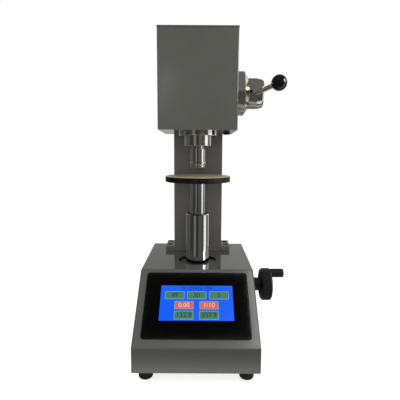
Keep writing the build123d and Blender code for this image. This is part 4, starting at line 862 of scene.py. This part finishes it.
BOARD_TOP = 0.0538
board = Finish("lacquered_board", (0.010, 0.075, 0.035), 0.28, coat=0.3, coat_rough=0.1)
pattern = {"Vector": board.place, "Scale": 210.0, "Randomness": 0.55}
cells = board.node("ShaderNodeTexVoronoi", pattern, feature="DISTANCE_TO_EDGE")
tracks = board.fade(cells.outputs["Distance"], 0.10, 0.04)
board.paint(tracks, (0.030, 0.16, 0.075))
board.paint(board.fade(board.noise(500.0), 0.70, 0.74), (0.55, 0.53, 0.48))
board.paint(board.fade(board.along(2), BOARD_TOP, BOARD_TOP + 0.0002), (0.016, 0.016, 0.017))
board.roughen(board.noise(90.0), 0.2, 0.4)
board.bump(tracks, 0.00005)
wear(board, "control_board")

INLET_X = -0.108875
INLET_Z = 0.062
PINS_HALF = (0.0085, 0.0045)
PINS_Y = (0.1481, 0.1612)
PIN_EDGE = 0.0002


def near(finish, axis, middle, half):
    """1 within half a width of a middle, along one axis."""
    away = finish.math("ABSOLUTE", finish.math("SUBTRACT", finish.along(axis), middle))
    return finish.fade(away, half, half - PIN_EDGE)


inlet = moulded("inlet_nylon", 0.014, 0.42)
across = inlet.times(near(inlet, 0, INLET_X, PINS_HALF[0]), near(inlet, 2, INLET_Z, PINS_HALF[1]))
above_floor = inlet.fade(inlet.along(1), PINS_Y[0], PINS_Y[0] + PIN_EDGE)
below_mouth = inlet.fade(inlet.along(1), PINS_Y[1], PINS_Y[1] - PIN_EDGE)
pins = inlet.times(inlet.times(across, below_mouth), above_floor)
inlet.paint(pins, (0.72, 0.58, 0.30))
inlet.put("Metallic", pins)
wear(inlet, "power_inlet")
print("electrics done")

# %% [markdown]
# ## The display
# The picture area is a lit panel behind glass. The module itself is near-black glass; the
# picture is built over it from thin plates that lie on the slope: a blue ground, seven keys
# with pale raised borders, and plain figures on them. Each plate glows a little and keeps a
# glossy surface, because a touch film covers them all.

# %% glass of the display
glass = Finish("display_glass", (0.004, 0.005, 0.008), 0.08, coat=0.5, coat_rough=0.02)
smear = glass.noise(18.0, 4.0, 0.6)
glass.cover(smear, 0.5, 0.75, 0.6, (0.012, 0.014, 0.020))
glass.roughen(glass.fade(smear, 0.45, 0.7), 0.05, 0.16)
glass.bump(glass.noise(60.0, 2.0), 0.000005)
wear(glass, "lcd_screen")
left_out = sorted(set(nodes) - set(finishes))
print("finished", len(finishes), "of", len(nodes), "parts; left", left_out)

# %% [markdown]
# ## A frame on the slope
# Everything on the panel is drawn flat, in millimetres from the middle of the picture, and
# then laid on the slope by one matrix. Its X runs across, its Y up the slope and its Z out of
# the glass.

# %% slope frame
PICTURE_UP = 0.0959
GLASS_OUT = 0.0034
PICTURE = (0.158, 0.0806)

slope_place = Matrix.Translation(LIP + up_slope * PICTURE_UP + outward * GLASS_OUT)
on_slope = slope_place @ Matrix.Rotation(SLOPE, 4, "X")
print("picture centre", tuple(round(v, 4) for v in slope_place.translation))

# %% [markdown]
# ## Plates and figures
# A key is a low plate with a rounded outline and a bevelled rim, made in mesh code so that its
# border can be a second, slightly wider plate below it. The figures start as text curves,
# which are turned into meshes and given a little depth.


# %% plate maker
def built(name, build):
    """Turns finished mesh code into a mesh."""
    mesh = bpy.data.meshes.new(name)
    build.to_mesh(mesh)
    build.free()
    return mesh


def add_mesh(name, mesh, finish, body, place=None):
    """Makes an object of a mesh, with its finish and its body."""
    made = bpy.data.objects.new(name, mesh)
    mesh.materials.clear()
    mesh.materials.append(finish.material)
    scene.collection.objects.link(made)
    if place:
        made.matrix_world = place
    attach(made, body)


def rounded(width, height, corner, steps=4):
    """A rounded rectangle's points, anticlockwise."""
    points = []
    for quarter, (sx, sy) in enumerate(((1, 1), (-1, 1), (-1, -1), (1, -1))):
        centre = (sx * (width / 2 - corner), sy * (height / 2 - corner))
        for i in range(steps + 1):
            turn = math.pi / 2 * (quarter + i / steps)
            points.append((centre[0] + corner * math.cos(turn), centre[1] + corner * math.sin(turn)))
    return points


def plate_mesh(name, outline, low, high, rim=0.0):
    """A plate over an outline, with a sloping rim of that width."""
    plate = bmesh.new()
    foot = [plate.verts.new((x, y, low)) for x, y in outline]
    middle_x = sum(x for x, _ in outline) / len(outline)
    middle_y = sum(y for _, y in outline) / len(outline)
    top = []
    for x, y in outline:
        dx, dy = x - middle_x, y - middle_y
        reach = math.hypot(dx, dy) or 1.0
        top.append(plate.verts.new((x - rim * dx / reach, y - rim * dy / reach, high)))
    plate.faces.new(top)
    for i in range(len(foot)):
        j = (i + 1) % len(foot)
        plate.faces.new((foot[i], foot[j], top[j], top[i]))
    plate.normal_update()
    return built(name, plate)


def figure_mesh(name, words, size, depth):
    """Figures as a mesh, centred on zero."""
    curve = bpy.data.curves.new(name, "FONT")
    curve.body = words
    curve.size = size
    curve.extrude = depth
    curve.align_x = "CENTER"
    curve.align_y = "CENTER"
    holder = bpy.data.objects.new(name, curve)
    scene.collection.objects.link(holder)
    bpy.context.view_layer.update()
    mesh = bpy.data.meshes.new_from_object(holder)
    bpy.data.objects.remove(holder)
    return mesh


print("plate and figure makers ready")

# %% [markdown]
# ## What glows
# A lit colour is an emission of that colour at strength one, over a dark glossy base. A fine
# column grid, the backlight's slow falloff and a little unevenness keep it from being flat.


# %% lit finishes
PIXEL_COLUMNS = 3200.0
COLUMN_DEPTH = 0.12
GROUND_GAP = 0.0006
GROUND_CORNER = 0.0006
GROUND_THICK = 0.00012


def lit(name, colour):
    """A glowing screen colour with pixel columns and an uneven backlight."""
    finish = Finish(name, (0.006, 0.006, 0.008), 0.14, coat=0.4, coat_rough=0.03)
    columns = finish.math("PINGPONG", finish.times(finish.along(0), PIXEL_COLUMNS), 0.5)
    cloud = finish.noise(14.0, 2.0)
    between = finish.fade(columns, 0.0, 0.5, 0.0, COLUMN_DEPTH)
    light = finish.mix(between, (*colour, 1), (*tone(colour, 0.5), 1))
    bright = finish.fade(cloud, 0.35, 0.65, 0.0, 0.8)
    finish.put("Emission Color", finish.mix(bright, light, (*tone(colour, 1.12, 0.001), 1)))
    finish.put("Emission Strength", 1.0)
    finish.roughen(cloud, 0.10, 0.20)
    return finish


BLUE = lit("lit_blue", (0.001, 0.106, 0.91))
DEEP_BLUE = lit("lit_deep_blue", (0.002, 0.028, 0.36))
GREEN = lit("lit_green", (0.050, 0.205, 0.125))
RED = lit("lit_red", (0.66, 0.130, 0.105))
PALE = lit("lit_pale", (0.20, 0.38, 0.42))
INK = lit("lit_ink", (0.004, 0.032, 0.018))
WHITE = lit("lit_white", (0.86, 0.62, 0.60))

ground = rounded(PICTURE[0] - GROUND_GAP, PICTURE[1] - GROUND_GAP, GROUND_CORNER)
picture = plate_mesh("picture_ground", ground, 0, GROUND_THICK)
add_mesh("picture_ground", picture, BLUE, "frame", on_slope)
print("seven lit colours")

# %% [markdown]
# ## Keys
# Seven keys sit in three rows: three wide fields above, two red keys, and two green ones at the
# foot. Their places are shares of the picture, so that the layout is easy to read and change.

# %% keys
KEYS = (  # left, right, middle and height as shares; field; ink; figures
    (0.062, 0.330, 0.290, 0.225, GREEN, INK, "49"),
    (0.367, 0.631, 0.290, 0.225, GREEN, INK, "30"),
    (0.672, 0.941, 0.290, 0.225, GREEN, INK, "5"),
    (0.198, 0.460, 0.573, 0.225, RED, WHITE, "0.00"),
    (0.537, 0.798, 0.573, 0.225, RED, WHITE, "1/10"),
    (0.199, 0.459, 0.847, 0.235, GREEN, INK, "132.9"),
    (0.535, 0.798, 0.847, 0.235, GREEN, INK, "357.9"),
)
BORDER = 0.0013
BORDER_CORNER = 0.0012
BORDER_LEVELS = (0.0001, 0.00022)
BORDER_RIM = 0.0003
KEY_CORNER = 0.0006
KEY_LEVELS = (0.0002, 0.00032)
KEY_RIM = 0.0002
FIGURE_LEVEL = 0.00036
FIGURE_SHARE = 0.775
FIGURE_DEPTH = 0.00003
TITLE_SIZE = 0.0118
TITLE_LEVEL = 0.00016


def at_share(x, y, out=0.0):
    """The slope's frame at a share of the picture from its left and its top."""
    return on_slope @ Matrix.Translation(((x - 0.5) * PICTURE[0], (0.5 - y) * PICTURE[1], out))


for index, (left, right, middle, tall, field, ink, words) in enumerate(KEYS):
    width = (right - left) * PICTURE[0]
    height = tall * PICTURE[1]
    place = at_share((left + right) / 2, middle)
    outline = rounded(width, height, BORDER_CORNER)
    border = plate_mesh(f"key_border_{index}", outline, *BORDER_LEVELS, BORDER_RIM)
    add_mesh(f"key_border_{index}", border, PALE, "frame", place)
    inner = rounded(width - 2 * BORDER, height - 2 * BORDER, KEY_CORNER)
    key = plate_mesh(f"key_{index}", inner, *KEY_LEVELS, KEY_RIM)
    add_mesh(f"key_{index}", key, field, "frame", place)
    figures = figure_mesh(f"key_figures_{index}", words, FIGURE_SHARE * height, FIGURE_DEPTH)
    on_top = place @ Matrix.Translation((0, 0, FIGURE_LEVEL))
    add_mesh(f"key_figures_{index}", figures, ink, "frame", on_top)
title = figure_mesh("picture_title", "0 123456 789", TITLE_SIZE, FIGURE_DEPTH)
add_mesh("picture_title", title, DEEP_BLUE, "frame", at_share(0.505, 0.098, TITLE_LEVEL))
print(len(KEYS), "keys and a row of figures")

# %% [markdown]
# ## A spring of coned washers
# The stack of coned washers under the spindle's head takes the place of the CAD spring, at its full
# height.

# %% return spring
WASHERS = 4
WASHER_THICK = 0.0008
WASHER_INNER = 0.016
WASHER_SIDES = 64


def turned_mesh(name, sections, sides):
    """Rings about Z, each turned from a closed section of (radius, height) corners."""
    build = bmesh.new()
    turns = [360 * i / sides for i in range(sides)]
    for section in sections:
        loops = []
        for radius, z in section:
            loops.append([build.verts.new(from_front(turn, radius, z)) for turn in turns])
        for one, two in zip(loops, loops[1:] + loops[:1]):
            for i in range(sides):
                j = (i + 1) % sides
                build.faces.new((one[i], one[j], two[j], two[i]))
    bmesh.ops.recalc_face_normals(build, faces=build.faces)
    return built(name, build)


def washer_sections(low, high, outer):
    """Coned washers between two heights, each turned over from the last."""
    step = (high - low) / WASHERS
    rise = step - WASHER_THICK
    sections = []
    for index in range(WASHERS):
        foot = low + step * index
        inner_z, outer_z = (foot + rise, foot) if index % 2 == 0 else (foot, foot + rise)
        sections.append((
            (WASHER_INNER, inner_z), (outer, outer_z),
            (outer, outer_z + WASHER_THICK), (WASHER_INNER, inner_z + WASHER_THICK),
        ))
    return sections


spring_low, spring_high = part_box("return_spring")
washers = washer_sections(spring_low.z, spring_high.z, spring_high.x)
stack_mesh = turned_mesh("pressed_spring", washers, WASHER_SIDES)
stack_mesh.materials.append(spring_steel.material)
pressed_spring = bpy.data.objects.new("pressed_spring", stack_mesh)
scene.collection.objects.link(pressed_spring)
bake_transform(pressed_spring)
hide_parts("return_spring")
print("spring of", WASHERS, "washers,", round((spring_high.z - spring_low.z) * 1000, 1), "mm tall")

# %% [markdown]
# ## Screw crosses and switch marks
# Two small things are only for the eye. The cover screws have cross recesses, shown as thin
# dark crosses with tapered arms that lie on the heads, as painted shade. The switch at the back
# carries the usual line and ring, printed in off-white, which tilt with the rocker. Where each
# mark lies is found by shooting a ray at the part, so that it sits on the surface whatever its slant.

# %% crosses and marks
CROSS_ARM = 0.0021
CROSS_WIDE = 0.0011
CROSS_TIP = 0.0007
MARK_LIFT = 0.00003
MARK_THICK = 0.00005
MARK_TALL = 0.0034
MARK_STROKE = 0.0007
MARK_CORNER = 0.0002
FIRST_TURN = 0.35
NEXT_TURN = 1.1
SIDE_RAY = 0.2
REAR_RAY = 0.3
BASE_SCREW_YS = (-0.150, -0.020, 0.110)
BASE_SCREW_Z = 0.030
HEAD_SCREW_INSET = 0.035
HEAD_SCREW_ZS = (0.519, 0.718)
REAR_SCREW_X = 0.060


def surface_spot(node, start, direction):
    """Where a ray meets a part, as a frame whose Z stands out of the surface and whose Y is up."""
    hit, spot, normal, _ = nodes[node].ray_cast(start, direction)
    if not hit:
        raise ValueError(f"the ray misses {node}")
    across = UP.cross(normal).normalized()
    turn = Matrix((across, normal.cross(across), normal)).transposed().to_4x4()
    return Matrix.Translation(spot + normal * MARK_LIFT) @ turn


def cross_outline():
    """A cross with four tapered arms."""
    root, tip = CROSS_WIDE / 2, CROSS_TIP / 2
    points = []
    for quarter in range(4):
        turn = Matrix.Rotation(math.pi / 2 * quarter, 2)
        for corner in ((root, root), (tip, CROSS_ARM), (-tip, CROSS_ARM)):
            points.append(tuple(turn @ Vector(corner)))
    return points


head_low, head_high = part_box("head_cover")
head_screw_ys = (head_low.y + HEAD_SCREW_INSET, head_high.y - HEAD_SCREW_INSET)
side_screws = [(y, BASE_SCREW_Z) for y in BASE_SCREW_YS]
side_screws += [(y, z) for y in head_screw_ys for z in HEAD_SCREW_ZS]
screw_rays = []
for side in (-1, 1):
    inward = Vector((-side, 0, 0))
    screw_rays += [(Vector((side * SIDE_RAY, y, z)), inward) for y, z in side_screws]
    screw_rays.append((Vector((side * REAR_SCREW_X, REAR_RAY, BASE_SCREW_Z)), FORWARD))
# painted shade: each cross recess is a near-black plate laid on the screw head
recess_shade = blackened("cross_recess", (0.004, 0.004, 0.004), 0.6)
for index, (start, direction) in enumerate(screw_rays):
    turn = Matrix.Rotation(FIRST_TURN + NEXT_TURN * index, 4, "Z")
    place = surface_spot("cover_screws", start, direction) @ turn
    cross = plate_mesh(f"screw_cross_{index}", cross_outline(), 0.0, MARK_THICK)
    add_mesh(f"screw_cross_{index}", cross, recess_shade, "frame", place)
print(len(screw_rays), "screw crosses")

# %% switch marks
ROCKER_Z = 0.097
MARK_AWAY = 0.0055
RING_SIDES = 32

print_white = Finish("switch_print", (0.62, 0.62, 0.59), 0.45)
print_white.cover(print_white.noise(900.0), 0.55, 0.7, 0.6, (0.42, 0.42, 0.40))
print_white.roughen(print_white.noise(300.0), 0.35, 0.55)
bar = plate_mesh("switch_line", rounded(MARK_STROKE, MARK_TALL, MARK_CORNER), 0.0, MARK_THICK)
outer = MARK_TALL / 2
inner = outer - MARK_STROKE
section = ((inner, 0.0), (inner, MARK_THICK), (outer, MARK_THICK), (outer, 0.0))
ring = turned_mesh("switch_ring", [section], RING_SIDES)
for name, mesh, rise in (("switch_line", bar, MARK_AWAY), ("switch_ring", ring, -MARK_AWAY)):
    place = surface_spot("switch_rocker", Vector((INLET_X, REAR_RAY, ROCKER_Z + rise)), FORWARD)
    add_mesh(name, mesh, print_white, "rocker", place)
print("line above, ring below")
